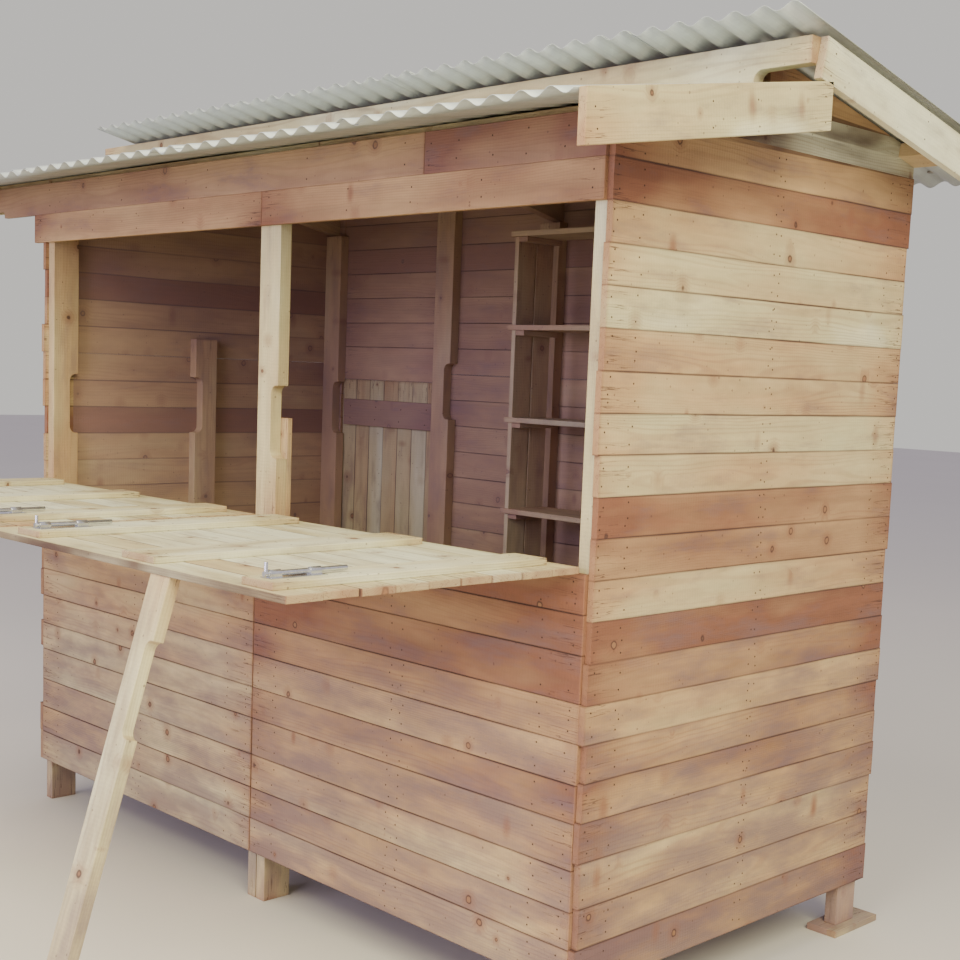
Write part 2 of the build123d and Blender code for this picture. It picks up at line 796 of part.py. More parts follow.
with BuildPart() as door_ledges:
    for top in ledge_tops:
        block(door_left + ledge_side, leaf_y - ledge_t, top - ledge_w,
              door_w - 2 * ledge_side, ledge_t, ledge_w)
save(door_ledges, "door_ledges")

hinge_x = leaf_right + door_clear / 2
barrel_reach = hinge_r + hinge_play
door_hinge_y = leaf_y + leaf_t + barrel_reach
plate_reach = sqrt(barrel_reach**2 - (barrel_reach - hinge_plate_t) ** 2)
door_hinge_heights = (ledge_tops[1] - hinge_l, ledge_tops[0] - hinge_l)
with BuildPart() as door_hinges:
    for z in door_hinge_heights:
        block(hinge_x, y_back, z, hinge_leaf, fixed_plate_t, hinge_l)
        block(hinge_x, y_back, z, hinge_r, door_hinge_y - y_back, hinge_l)
        with Locations((hinge_x, door_hinge_y, z)):
            Cylinder(hinge_r, hinge_l, align=(Align.CENTER, Align.CENTER, Align.MIN))
save(door_hinges, "door_hinges")

with BuildPart() as door_leaves:
    for z in door_hinge_heights:
        block(hinge_x - plate_reach - hinge_leaf, leaf_y + leaf_t, z,
              hinge_leaf, hinge_plate_t, hinge_l)
save(door_leaves, "door_hinge_leaves")

# Shelf unit in the back right corner: slat uprights, cleats and shelves.
shelf_front = y_inner - shelf_d
slat_rear_y = y_inner - rail_d - slat_w
shelf_heights = [shelf_top - i * shelf_step for i in range(shelf_count)]
slat_top = shelf_top - shelf_t
with BuildPart() as shelf_uprights:
    for x in (shelf_left, x_in_right - slat_t):
        for y in (shelf_front, slat_rear_y):
            block(x, y, floor_z, slat_t, slat_w, slat_top - floor_z)
save(shelf_uprights, "shelf_uprights")

cleat_l = slat_rear_y + slat_w - shelf_front
with BuildPart() as shelf_cleats:
    for top in shelf_heights:
        for x in (shelf_left + slat_t, x_in_right - slat_t - cleat_w):
            block(x, shelf_front, top - 2 * shelf_t, cleat_w, cleat_l, shelf_t)
save(shelf_cleats, "shelf_cleats")

# Each shelf fits between the uprights and runs past them in front. The top one lies over them.
with BuildPart() as shelves:
    for top in shelf_heights[1:]:
        block(shelf_left + slat_t, shelf_front, top - shelf_t,
              shelf_w - 2 * slat_t, cleat_l, shelf_t)
        block(shelf_left - shelf_lip, shelf_front - shelf_lip, top - shelf_t,
              shelf_w + shelf_lip, shelf_lip, shelf_t)
    block(shelf_left - shelf_lip, shelf_front - shelf_lip, slat_top,
          shelf_w + shelf_lip, cleat_l + shelf_lip, shelf_t)
save(shelves, "shelves")
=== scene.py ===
import json
import random
from math import atan2, ceil, cos, fsum, pi, radians, sin

import bmesh
import bpy
from bpy.props import FloatProperty, FloatVectorProperty, IntProperty, PointerProperty
from mathutils import Matrix, Vector

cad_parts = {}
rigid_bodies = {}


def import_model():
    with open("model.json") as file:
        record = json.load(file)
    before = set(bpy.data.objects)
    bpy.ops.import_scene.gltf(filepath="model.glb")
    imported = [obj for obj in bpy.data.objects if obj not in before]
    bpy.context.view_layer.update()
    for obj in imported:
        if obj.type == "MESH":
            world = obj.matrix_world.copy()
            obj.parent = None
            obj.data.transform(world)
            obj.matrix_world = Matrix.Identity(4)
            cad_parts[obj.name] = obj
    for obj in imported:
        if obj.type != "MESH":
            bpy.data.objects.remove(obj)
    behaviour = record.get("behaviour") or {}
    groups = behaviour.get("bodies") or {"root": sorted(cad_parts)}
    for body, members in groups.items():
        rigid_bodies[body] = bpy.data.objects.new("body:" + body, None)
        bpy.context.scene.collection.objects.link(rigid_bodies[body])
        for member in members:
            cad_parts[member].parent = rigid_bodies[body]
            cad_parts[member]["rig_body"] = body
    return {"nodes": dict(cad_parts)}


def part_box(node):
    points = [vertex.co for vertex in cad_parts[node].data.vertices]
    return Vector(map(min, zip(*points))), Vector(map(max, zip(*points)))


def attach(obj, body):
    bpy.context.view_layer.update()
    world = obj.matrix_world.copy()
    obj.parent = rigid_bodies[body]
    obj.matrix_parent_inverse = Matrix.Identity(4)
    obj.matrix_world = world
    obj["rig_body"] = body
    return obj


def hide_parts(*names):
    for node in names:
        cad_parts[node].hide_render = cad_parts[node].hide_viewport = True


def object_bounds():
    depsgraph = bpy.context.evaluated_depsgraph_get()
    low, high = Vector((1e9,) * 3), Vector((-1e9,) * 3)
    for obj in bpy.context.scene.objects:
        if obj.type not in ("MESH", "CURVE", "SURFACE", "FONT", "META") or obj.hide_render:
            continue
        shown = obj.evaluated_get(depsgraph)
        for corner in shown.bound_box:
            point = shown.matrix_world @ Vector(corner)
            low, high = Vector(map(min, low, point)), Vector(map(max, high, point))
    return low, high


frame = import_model()
cad_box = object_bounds()

bl_info = {
    "name": "Pallet Timber Street Kiosk",
    "version": (1, 0, 0),
    "blender": (4, 2, 0),
    "location": "View3D > Sidebar > Kiosk",
    "description": "Boards, nails, roofing steel and hardware of a kiosk made from pallets",
    "category": "Object",
}

X = Vector((1, 0, 0))
Y = Vector((0, 1, 0))
Z = Vector((0, 0, 1))


def linear(code):
    """Linear colour of an sRGB hex value."""
    parts = [int(code[i:i + 2], 16) / 255 for i in (0, 2, 4)]
    return tuple(c / 12.92 if c <= 0.04045 else ((c + 0.055) / 1.055) ** 2.4 for c in parts)


def colour(name, text, code):
    """A colour property with an sRGB hex default."""
    return FloatVectorProperty(name=name, description=text, default=linear(code),
                               subtype="COLOR", size=3, min=0, max=1)


def length(name, text, metres):
    """A length property."""
    return FloatProperty(name=name, description=text, default=metres,
                         unit="LENGTH", min=0.0, precision=4)


class TimberSettings(bpy.types.PropertyGroup):
    bleached: colour("Bleached pine", "Colour of boards that the sun has bleached", "e4e4c6")
    pale: colour("Pale pine", "Colour of the freshest boards", "cec396")
    warm: colour("Warm pine", "Colour of the usual boards", "bd9c70")
    red: colour("Red pine", "Colour of the reddest boards", "855740")
    knot: colour("Knot", "Colour of the heart of a knot", "99704f")
    # The knot rim colour also paints the shade of the joints between boards
    rim: colour("Knot rim", "Colour of the bark round a knot and of dirty joints", "472c25")
    stain: colour("Stain", "Colour of grey dirt and old stains", "6d5f68")
    # Painted shade: the purple-grey tint that the wood indoors is mixed towards, for the shade
    # inside the room
    indoor_shade_tint: colour("Dust", "Colour of the dust on the wood indoors", "a8918f")
    board_gap: length("Board gap", "Usual gap between two boards", 0.0002)
    edge_wear: length("Edge wear", "Width of the worn edge of a board", 0.0018)
    nail_radius: length("Nail radius", "Radius of a nail head", 0.0027)
    seed: IntProperty(name="Seed", description="Picks other boards from the pile", default=7)


class RoofSettings(bpy.types.PropertyGroup):
    zinc: colour("Zinc", "Colour of the galvanised steel", "ced6d0")
    # Painted shade: the darker grey that the sheets' undersides are mixed towards
    shaded_underside: colour("Oxide", "Colour of the dull underside", "9c9d99")
    wave: length("Wave", "Spacing of the corrugations", 0.0762)
    depth: length("Depth", "Height of the corrugations", 0.0164)
    steel: length("Steel", "Thickness of a sheet", 0.0008)
    cover: IntProperty(name="Cover", description="Waves from one sheet to the next",
                       default=10, min=3)


class HardwareSettings(bpy.types.PropertyGroup):
    chrome: colour("Plating", "Colour of the plated bolts", "dcdedf")
    hinge: colour("Hinge steel", "Colour of the zinc plated hinges", "9d9a92")
    nail: colour("Nail", "Colour of the rusted nail heads", "59443a")
    polish: length("Polish", "Width of the rounded edges of the steel", 0.0004)


class StageSettings(bpy.types.PropertyGroup):
    floor: colour("Floor", "Colour of the floor", "dad6ca")
    backdrop: colour("Backdrop", "Colour of the wall behind the floor", "f4f1ec")
    sky: colour("Sky", "Colour of the soft light all round", "e3dcf0")
    sun: colour("Lamps", "Colour of the main lamps", "fff7cf")
    shade: colour("Shade", "Colour of the lamp that fills the shade", "e4d8ff")
    focal: FloatProperty(name="Focal length", description="Lens of the camera in millimetres",
                         default=54.17, min=10)
    key: FloatProperty(name="Key light", description="Power of the main lamp",
                       default=480, unit="POWER", min=0)


def add(tree, kind, feeds=None, **settings):
    """Add a shader node with its settings, and feed its sockets with values or other outputs.

    A socket goes by its name or its place. On a Map Range, 1 and 2 are the range that comes in
    and 3 and 4 the range that goes out, and on a Mix of colours 6 and 7 are the two colours.
    """
    node = tree.nodes.new(kind)
    for name, value in settings.items():
        setattr(node, name, value)
    for socket, value in (feeds or {}).items():
        if isinstance(value, bpy.types.NodeSocket):
            tree.links.new(value, node.inputs[socket])
        else:
            node.inputs[socket].default_value = value
    return node


def blank(name):
    """A new material with its shader and its node tree."""
    material = bpy.data.materials.new(name)
    material.use_nodes = True
    return material, material.node_tree, material.node_tree.nodes["Principled BSDF"]


def opaque(rgb):
    """A colour with full alpha, as colour sockets want it."""
    return (*rgb[:3], 1.0)


# Middle and half width of the room between the walls, from left to right and from front to back,
# and the height of the eaves
ROOM_MIDDLE = (0.116, 0.459)
ROOM_HALF = (1.185, 0.5395)
ROOM_TOP = 2.02


def rough_pine(name, age):
    """Rough-sawn pallet pine: matt, blotched boards with soft rings, small knots and old dirt."""
    timber = bpy.context.scene.kiosk_timber
    material, tree, shader = blank(name)
    grain = add(tree, "ShaderNodeAttribute", attribute_name="grain").outputs["Vector"]
    tone = add(tree, "ShaderNodeAttribute", attribute_name="tone").outputs["Fac"]
    place = add(tree, "ShaderNodeAttribute", attribute_name="place").outputs["Vector"]
    half = add(tree, "ShaderNodeAttribute", attribute_name="half").outputs["Vector"]

    # Noise drawn out along the grain, with its scales per metre along and across the board:
    # slow bends of the rings, streaks about 30 mm wide, blotches of 45 by 110 mm, patches of 140
    # by 500 mm, smudges of 75 by 250 mm, and fibres that are too fine to show but in the sheen
    noise = {}
    for pattern, along, across, detail, roughness in (
        ("sway", 1.3, 9.0, 2.0, 0.5),
        ("streak", 1.4, 34.0, 4.0, 0.6),
        ("blotch", 9.0, 22.0, 4.0, 0.65),
        ("patch", 2.0, 7.0, 3.0, 0.5),
        ("smudge", 4.0, 13.0, 5.0, 0.65),
        ("fibre", 30.0, 700.0, 2.0, 0.5),
    ):
        drawn = add(tree, "ShaderNodeVectorMath", {0: grain, 1: (along, across, across)},
                    operation="MULTIPLY")
        noise[pattern] = add(tree, "ShaderNodeTexNoise",
                             {"Vector": drawn.outputs[0], "Scale": 1.0, "Detail": detail,
                              "Roughness": roughness}).outputs[0]

    # How near a point is to the end and to the long edge of its board, in metres
    inward = add(tree, "ShaderNodeVectorMath", {0: place}, operation="ABSOLUTE")
    margin = add(tree, "ShaderNodeVectorMath", {0: half, 1: inward.outputs[0]},
                 operation="SUBTRACT")
    margins = add(tree, "ShaderNodeSeparateXYZ", {0: margin.outputs[0]})
    flags = add(tree, "ShaderNodeSeparateXYZ", {0: half})

    # Small knots of up to 9 mm radius, with bark round them and a crooked outline
    crumple = add(tree, "ShaderNodeTexNoise", {"Vector": grain, "Scale": 70.0, "Detail": 2.0})
    bent = add(tree, "ShaderNodeVectorMath",
               {0: crumple.outputs["Color"], 1: (0.006, 0.006, 0.0), 2: grain},
               operation="MULTIPLY_ADD").outputs[0]
    dotted = add(tree, "ShaderNodeVectorMath", {0: bent, 1: (13.0, 12.0, 7.0)},
                 operation="MULTIPLY")
    cell = add(tree, "ShaderNodeTexVoronoi", {"Vector": dotted.outputs[0], "Scale": 1.0})
    pick = add(tree, "ShaderNodeSeparateColor", {0: cell.outputs["Color"]})
    size = add(tree, "ShaderNodeMapRange",
               {0: pick.outputs[0], 1: 0.55, 2: 0.85, 3: 0.003, 4: 0.11})
    edge = add(tree, "ShaderNodeMath", {0: cell.outputs["Distance"], 1: size.outputs[0]},
               operation="DIVIDE").outputs[0]
    rim = add(tree, "ShaderNodeMapRange", {0: edge, 1: 1.35, 2: 0.95, 3: 0.0, 4: 0.88},
              interpolation_type="SMOOTHSTEP").outputs[0]
    heart = add(tree, "ShaderNodeMapRange", {0: edge, 1: 0.95, 2: 0.6, 3: 0.0, 4: 0.85},
                interpolation_type="SMOOTHSTEP").outputs[0]
    halo = add(tree, "ShaderNodeMapRange", {0: edge, 1: 4.0, 2: 1.0},
               interpolation_type="SMOOTHSTEP").outputs[0]

    # Knots sawn along their branch, which lie across the board as soft reddish smears
    smeared = add(tree, "ShaderNodeVectorMath", {0: bent, 1: (9.0, 4.5, 4.0)},
                  operation="MULTIPLY")
    branch = add(tree, "ShaderNodeTexVoronoi", {"Vector": smeared.outputs[0], "Scale": 1.0})
    lot = add(tree, "ShaderNodeSeparateColor", {0: branch.outputs["Color"]})
    girth = add(tree, "ShaderNodeMapRange", {0: lot.outputs[1], 1: 0.3, 2: 1.0, 3: 0.004, 4: 0.13})
    reach = add(tree, "ShaderNodeMath", {0: branch.outputs["Distance"], 1: girth.outputs[0]},
                operation="DIVIDE").outputs[0]
    smear = add(tree, "ShaderNodeMapRange", {0: reach, 1: 1.8, 2: 0.2, 3: 0.0, 4: 0.75},
                interpolation_type="SMOOTHSTEP").outputs[0]

    # Growth rings about 5 mm apart round a pith that lies off the board, strong in places only
    shift = add(tree, "ShaderNodeMath", {0: noise["sway"], 1: 0.045}, operation="MULTIPLY")
    bend = add(tree, "ShaderNodeMath", {0: halo, 1: 0.008, 2: shift.outputs[0]},
               operation="MULTIPLY_ADD")
    axes = add(tree, "ShaderNodeSeparateXYZ", {0: grain})
    pith = add(tree, "ShaderNodeCombineXYZ", {1: axes.outputs[1], 2: axes.outputs[2]})
    radius = add(tree, "ShaderNodeVectorMath", {0: pith.outputs[0]}, operation="LENGTH")
    bowed = add(tree, "ShaderNodeMath", {0: radius.outputs["Value"], 1: bend.outputs[0]},
                operation="ADD")
    turn = add(tree, "ShaderNodeMath", {0: bowed.outputs[0], 1: 2 * pi / 0.0052},
               operation="MULTIPLY")
    ring = add(tree, "ShaderNodeMath", {0: turn.outputs[0]}, operation="SINE")
    late = add(tree, "ShaderNodeMapRange", {0: ring.outputs[0], 1: 0.0, 2: 1.0},
               interpolation_type="SMOOTHSTEP").outputs[0]
    showing = add(tree, "ShaderNodeMapRange",
                  {0: noise["sway"], 1: 0.42, 2: 0.66, 3: 0.04, 4: 0.24})
    band = add(tree, "ShaderNodeMath", {0: late, 1: showing.outputs[0]}, operation="MULTIPLY")

    # Saw marks across the board about 9 mm apart
    wander = add(tree, "ShaderNodeMath", {0: noise["blotch"], 1: 9.0}, operation="MULTIPLY")
    tooth = add(tree, "ShaderNodeMath",
                {0: axes.outputs[0], 1: 2 * pi / 0.009, 2: wander.outputs[0]},
                operation="MULTIPLY_ADD")
    mark = add(tree, "ShaderNodeMath", {0: tooth.outputs[0]}, operation="SINE").outputs[0]

    # What lies between the walls of the room, where the wood is given a painted shade: a redder
    # tone here, and a purple-grey tint further down
    spot = add(tree, "ShaderNodeTexCoord").outputs["Object"]
    where = add(tree, "ShaderNodeSeparateXYZ", {0: spot})
    beside = add(tree, "ShaderNodeMath", {0: where.outputs[0], 1: ROOM_MIDDLE[0], 2: ROOM_HALF[0]},
                 operation="COMPARE")
    behind = add(tree, "ShaderNodeMath", {0: where.outputs[1], 1: ROOM_MIDDLE[1], 2: ROOM_HALF[1]},
                 operation="COMPARE")
    walled = add(tree, "ShaderNodeMath", {0: beside.outputs[0], 1: behind.outputs[0]},
                 operation="MULTIPLY")
    under = add(tree, "ShaderNodeMath", {0: where.outputs[2], 1: ROOM_TOP}, operation="LESS_THAN")
    indoors = add(tree, "ShaderNodeMath", {0: walled.outputs[0], 1: under.outputs[0]},
                  operation="MULTIPLY")
    # Painted shade: boards indoors are given a tone 0.3 redder
    indoor_shade_tone = add(tree, "ShaderNodeMath", {0: indoors.outputs[0], 1: 0.3, 2: tone},
                  operation="MULTIPLY_ADD")

    # The board's colour, from its tone and redder towards its ends
    ending = add(tree, "ShaderNodeMapRange",
                 {0: margins.outputs[0], 1: 0.16, 2: 0.0, 3: 0.0, 4: 0.42})
    ended = add(tree, "ShaderNodeMath", {0: ending.outputs[0], 1: noise["patch"]},
                operation="MULTIPLY")
    redden = add(tree, "ShaderNodeMapRange",
                 {0: noise["patch"], 1: 0.3, 2: 0.72, 3: -0.16, 4: 0.26})
    warmth = add(tree, "ShaderNodeMath", {0: indoor_shade_tone.outputs[0], 1: redden.outputs[0]},
                 operation="ADD")
    warmer = add(tree, "ShaderNodeMath", {0: warmth.outputs[0], 1: ended.outputs[0]},
                 operation="ADD")
    scale = add(tree, "ShaderNodeMapRange", {0: warmer.outputs[0], 1: -0.25, 2: 1.0})
    ramp = add(tree, "ShaderNodeValToRGB", {0: scale.outputs[0]})
    ramp.color_ramp.elements[0].color = opaque(timber.bleached)
    ramp.color_ramp.elements[1].color = opaque(timber.red)
    ramp.color_ramp.elements.new(0.22).color = opaque(timber.pale)
    ramp.color_ramp.elements.new(0.58).color = opaque(timber.warm)
    ringed = add(tree, "ShaderNodeMix", {0: band.outputs[0], 6: ramp.outputs[0],
                                         7: opaque(timber.red)}, data_type="RGBA")
    light = add(tree, "ShaderNodeMapRange",
                {0: noise["streak"], 1: 0.3, 2: 0.7, 3: 0.88, 4: 1.06})
    cloudy = add(tree, "ShaderNodeMapRange",
                 {0: noise["blotch"], 1: 0.32, 2: 0.68, 3: 0.9, 4: 1.05})
    both = add(tree, "ShaderNodeMath", {0: light.outputs[0], 1: cloudy.outputs[0]},
               operation="MULTIPLY")
    sawn_light = add(tree, "ShaderNodeMath", {0: mark, 1: 0.013, 2: both.outputs[0]},
                     operation="MULTIPLY_ADD")
    streaky = add(tree, "ShaderNodeVectorMath", {0: ringed.outputs[2], 3: sawn_light.outputs[0]},
                  operation="SCALE")

    # Clouds of grey dirt, and more grey towards the bottom; specks of up to 5 mm, and splits that
    # run in from the ends
    lower_down = add(tree, "ShaderNodeMapRange",
                 {0: where.outputs[2], 1: 1.1, 2: 0.1, 3: 0.0, 4: 0.26})
    grey_clouds = add(tree, "ShaderNodeMath", {0: noise["smudge"], 1: lower_down.outputs[0]},
                operation="ADD")
    soot = add(tree, "ShaderNodeMapRange",
               {0: grey_clouds.outputs[0], 1: 0.54, 2: 0.8, 3: 0.0, 4: 0.55 + age}).outputs[0]
    grit = add(tree, "ShaderNodeTexVoronoi", {"Vector": grain, "Scale": 75.0})
    chance = add(tree, "ShaderNodeSeparateColor", {0: grit.outputs["Color"]})
    fleck = add(tree, "ShaderNodeMapRange",
                {0: chance.outputs[0], 1: 0.8, 2: 1.0, 3: 0.0, 4: 0.22})
    speck = add(tree, "ShaderNodeMath", {0: grit.outputs["Distance"], 1: fleck.outputs[0]},
                operation="LESS_THAN")
    faint = add(tree, "ShaderNodeMath", {0: speck.outputs[0], 1: 0.5},
                operation="MULTIPLY").outputs[0]
    split = add(tree, "ShaderNodeMath", {0: noise["streak"], 1: 0.5, 2: 0.006},
                operation="COMPARE")
    opening = add(tree, "ShaderNodeMapRange",
                  {0: margins.outputs[0], 1: 0.12, 2: 0.03, 3: 0.0, 4: 0.7})
    crack = add(tree, "ShaderNodeMath", {0: split.outputs[0], 1: opening.outputs[0]},
                operation="MULTIPLY").outputs[0]

    # The reddish halo of the knots, a painted shade as a dark line in the joint beside each board,
    # the darker tips and sawn ends, and a painted shade of purple-grey over the wood indoors
    blush = add(tree, "ShaderNodeMath", {0: halo, 1: 0.42, 2: smear},
                operation="MULTIPLY_ADD").outputs[0]
    # Painted shade: a dark line along each long edge of a board, for the shade in the joint,
    # stronger in some patches
    tight = add(tree, "ShaderNodeMapRange",
                {0: noise["patch"], 1: 0.38, 2: 0.6, 3: 0.35, 4: 0.95})
    joint = add(tree, "ShaderNodeMapRange", {0: margins.outputs[1], 1: 0.0034, 2: 0.0006})
    joint_shade = add(tree, "ShaderNodeMath", {0: joint.outputs[0], 1: tight.outputs[0]},
               operation="MULTIPLY").outputs[0]
    tip = add(tree, "ShaderNodeMapRange",
              {0: margins.outputs[0], 1: 0.009, 2: 0.001, 3: 0.0, 4: 0.3}).outputs[0]
    cut = add(tree, "ShaderNodeMath", {0: flags.outputs[2], 1: 0.3},
              operation="MULTIPLY").outputs[0]
    # Painted shade: the wood indoors is mixed a third of the way towards the purple-grey tint
    painted_indoor_shade = add(tree, "ShaderNodeMath", {0: indoors.outputs[0], 1: 0.36},
               operation="MULTIPLY").outputs[0]

    # All of this over the bare wood, each coat over the last: where it lies, and its colour
    coat = streaky.outputs[0]
    for cover, tint in (
        (soot, timber.stain),
        (faint, timber.rim),
        (crack, timber.rim),
        (blush, timber.red),
        (rim, timber.rim),
        (heart, timber.knot),
        (joint_shade, timber.rim),
        (tip, timber.red),
        (cut, timber.knot),
        (painted_indoor_shade, timber.indoor_shade_tint),
        (age, timber.stain),
    ):
        coat = add(tree, "ShaderNodeMix", {0: cover, 6: coat, 7: opaque(tint)},
                   data_type="RGBA").outputs[2]
    tree.links.new(coat, shader.inputs["Base Color"])

    # Roughness and relief: saw marks and raised late wood, with the fibres between them
    rough = add(tree, "ShaderNodeMapRange", {0: noise["streak"], 3: 0.66, 4: 0.88})
    tree.links.new(rough.outputs[0], shader.inputs["Roughness"])
    woolly = add(tree, "ShaderNodeMath", {0: noise["fibre"], 1: late}, operation="ADD")
    sawmill = add(tree, "ShaderNodeMath", {0: mark, 1: 0.4, 2: woolly.outputs[0]},
                  operation="MULTIPLY_ADD")
    bump = add(tree, "ShaderNodeBump",
               {"Height": sawmill.outputs[0], "Strength": 0.35, "Distance": 0.0007})
    tree.links.new(bump.outputs[0], shader.inputs["Normal"])
    return material


def galvanised_steel():
    """Hot-dip galvanised roofing steel: a satin skin with faint spangle, and a painted shade that
    darkens its underside.
    """
    material, tree, shader = blank("hot-dip galvanised steel")
    place = add(tree, "ShaderNodeTexCoord").outputs["Object"]
    # Spangle of about 14 mm, and streaks 30 mm wide that run down the sheet
    spangle = add(tree, "ShaderNodeTexVoronoi", {"Vector": place, "Scale": 70.0})
    shade = add(tree, "ShaderNodeSeparateColor", {0: spangle.outputs["Color"]})
    run = add(tree, "ShaderNodeVectorMath", {0: place, 1: (30.0, 1.5, 1.5)},
              operation="MULTIPLY").outputs[0]
    streak = add(tree, "ShaderNodeTexNoise", {"Vector": run, "Scale": 1.0, "Detail": 3.0})
    fleck = add(tree, "ShaderNodeMapRange", {0: shade.outputs[0], 3: 0.95, 4: 1.03})
    wash = add(tree, "ShaderNodeMapRange",
               {0: streak.outputs[0], 1: 0.3, 2: 0.75, 3: 1.04, 4: 0.86})
    both = add(tree, "ShaderNodeMath", {0: fleck.outputs[0], 1: wash.outputs[0]},
               operation="MULTIPLY")
    # Painted shade: faces that point down are mixed towards the darker grey of the underside
    facing = add(tree, "ShaderNodeNewGeometry")
    level = add(tree, "ShaderNodeSeparateXYZ", {0: facing.outputs["True Normal"]})
    underside_shade = add(tree, "ShaderNodeMapRange",
                {0: level.outputs[2], 1: -0.6, 2: -0.98, 3: 0.0, 4: 0.6},
                interpolation_type="SMOOTHSTEP")
    roof = bpy.context.scene.kiosk_roof
    skin = add(tree, "ShaderNodeMix", {0: underside_shade.outputs[0], 6: opaque(roof.zinc),
                                       7: opaque(roof.shaded_underside)}, data_type="RGBA")
    tint = add(tree, "ShaderNodeVectorMath", {0: skin.outputs[2], 3: both.outputs[0]},
               operation="SCALE")
    tree.links.new(tint.outputs[0], shader.inputs["Base Color"])
    shader.inputs["Metallic"].default_value = 0.4
    rough = add(tree, "ShaderNodeMapRange", {0: streak.outputs[0], 3: 0.3, 4: 0.5})
    tree.links.new(rough.outputs[0], shader.inputs["Roughness"])
    return material


def plated_steel(name, rgb, rough, grit):
    """Plated steel: bright metal that dull spots break up, as many to the metre as grit says."""
    material, tree, shader = blank(name)
    place = add(tree, "ShaderNodeTexCoord").outputs["Object"]
    wear = add(tree, "ShaderNodeTexNoise", {"Vector": place, "Scale": grit, "Detail": 4.0})
    dull = add(tree, "ShaderNodeMapRange", {0: wear.outputs[0], 1: 0.3, 2: 0.75, 3: 1.0, 4: 0.7})
    tint = add(tree, "ShaderNodeVectorMath", {0: rgb, 3: dull.outputs[0]}, operation="SCALE")
    tree.links.new(tint.outputs[0], shader.inputs["Base Color"])
    shader.inputs["Metallic"].default_value = 0.85
    spread = add(tree, "ShaderNodeMapRange", {0: wear.outputs[0], 3: rough * 0.6, 4: rough * 1.6})
    tree.links.new(spread.outputs[0], shader.inputs["Roughness"])
    return material


def swept_floor():
    """Plain matt studio floor with a very faint mottle of a metre or two."""
    material, tree, shader = blank("matt studio floor")
    place = add(tree, "ShaderNodeTexCoord").outputs["Object"]
    cloud = add(tree, "ShaderNodeTexNoise", {"Vector": place, "Scale": 0.6, "Detail": 2.0})
    level = add(tree, "ShaderNodeMapRange", {0: cloud.outputs[0], 3: 0.97, 4: 1.02})
    tint = add(tree, "ShaderNodeVectorMath",
               {0: bpy.context.scene.kiosk_stage.floor, 3: level.outputs[0]}, operation="SCALE")
    tree.links.new(tint.outputs[0], shader.inputs["Base Color"])
    shader.inputs["Roughness"].default_value = 0.9
    return material


def cad_solid(name):
    """A merged copy of a CAD node's mesh, with its flat faces made whole."""
    bm = bmesh.new()
    bm.from_mesh(frame["nodes"][name].data)
    bmesh.ops.remove_doubles(bm, verts=bm.verts, dist=1e-5)
    bmesh.ops.dissolve_limit(bm, angle_limit=radians(1), verts=bm.verts, edges=bm.edges)
    return bm


def islands(bm):
    """Lists of the vertices of each separate piece in a mesh."""
    found, seen = [], set()
    for start in bm.verts:
        if start in seen:
            continue
        group, queue = [], [start]
        seen.add(start)
        while queue:
            vert = queue.pop()
            group.append(vert)
            for edge in vert.link_edges:
                other = edge.other_vert(vert)
                if other not in seen:
                    seen.add(other)
                    queue.append(other)
        found.append(group)
    return found


def trimmed(bm, point, normal):
    """Cut away what lies beyond a plane, and close the cut."""
    cut = bmesh.ops.bisect_plane(bm, geom=bm.verts[:] + bm.edges[:] + bm.faces[:],
                                 plane_co=point, plane_no=normal, clear_outer=True)
    rim = [e for e in cut["geom_cut"] if isinstance(e, bmesh.types.BMEdge)]
    if rim:
        bmesh.ops.edgeloop_fill(bm, edges=rim)


# How far a saw cut between two boards may run out of square, per metre
SAW_DRIFT = 0.0012


def sawn(bm, across, along, joints, ragged, dice):
    """Separate boards out of a slab, divided at the joints, which are not quite parallel."""
    gap = bpy.context.scene.kiosk_timber.board_gap
    saws = []
    for joint in joints:
        tilt = along * dice.uniform(-SAW_DRIFT, SAW_DRIFT)
        saws.append((across * joint, (across + tilt).normalized()))
    target = bmesh.new()
    scrap = bpy.data.meshes.new("scrap")
    for low, high in zip([None] + saws, saws + [None]):
        board = bm.copy()
        if low:
            trimmed(board, low[0] + across * gap / 2, -low[1])
        if high:
            trimmed(board, high[0] - across * gap / 2, high[1])
        for way in (along, -along):
            tip = max(v.co.dot(way) for v in board.verts)
            cut = way * dice.uniform(0, ragged)
            for vert in board.verts:
                if vert.co.dot(way) > tip - 0.001:
                    vert.co -= cut
        half = board.verts.layers.float_vector.new("half")
        for axis, direction in enumerate((along, across)):
            reach = [v.co.dot(direction) for v in board.verts]
            middle = (min(reach) + max(reach)) / 2
            for vert, value in zip(board.verts, reach):
                margin = vert[half].copy()
                margin[axis] = abs(value - middle)
                vert[half] = margin
        board.to_mesh(scrap)
        target.from_mesh(scrap)
        board.free()
    bpy.data.meshes.remove(scrap)
    bm.free()
    return target


def rounded(bm, width, sharp):
    """Round the edges that turn by more than so many degrees."""
    edges = [e for e in bm.edges
             if len(e.link_faces) == 2 and e.calc_face_angle(0) > radians(sharp)]
    bmesh.ops.bevel(bm, geom=edges, offset=width, offset_type="OFFSET", segments=2,
                    profile=0.5, affect="EDGES", material=-1, clamp_overlap=True)


def forward(way):
    """A direction or its opposite, whichever points more to the right, the back or up."""
    return way if way.dot(X + Y * 0.9 + Z * 0.8) > 0 else -way


def lengthwise(group):
    """Direction of the longest edge of a piece of timber, to the right, the back or up."""
    longest = max({e for v in group for e in v.link_edges}, key=lambda e: e.calc_length())
    return forward((longest.verts[1].co - longest.verts[0].co).normalized())


def spread(group, direction):
    """Lowest and highest reach of some vertices in a direction."""
    reach = [v.co.dot(direction) for v in group]
    return min(reach), max(reach)


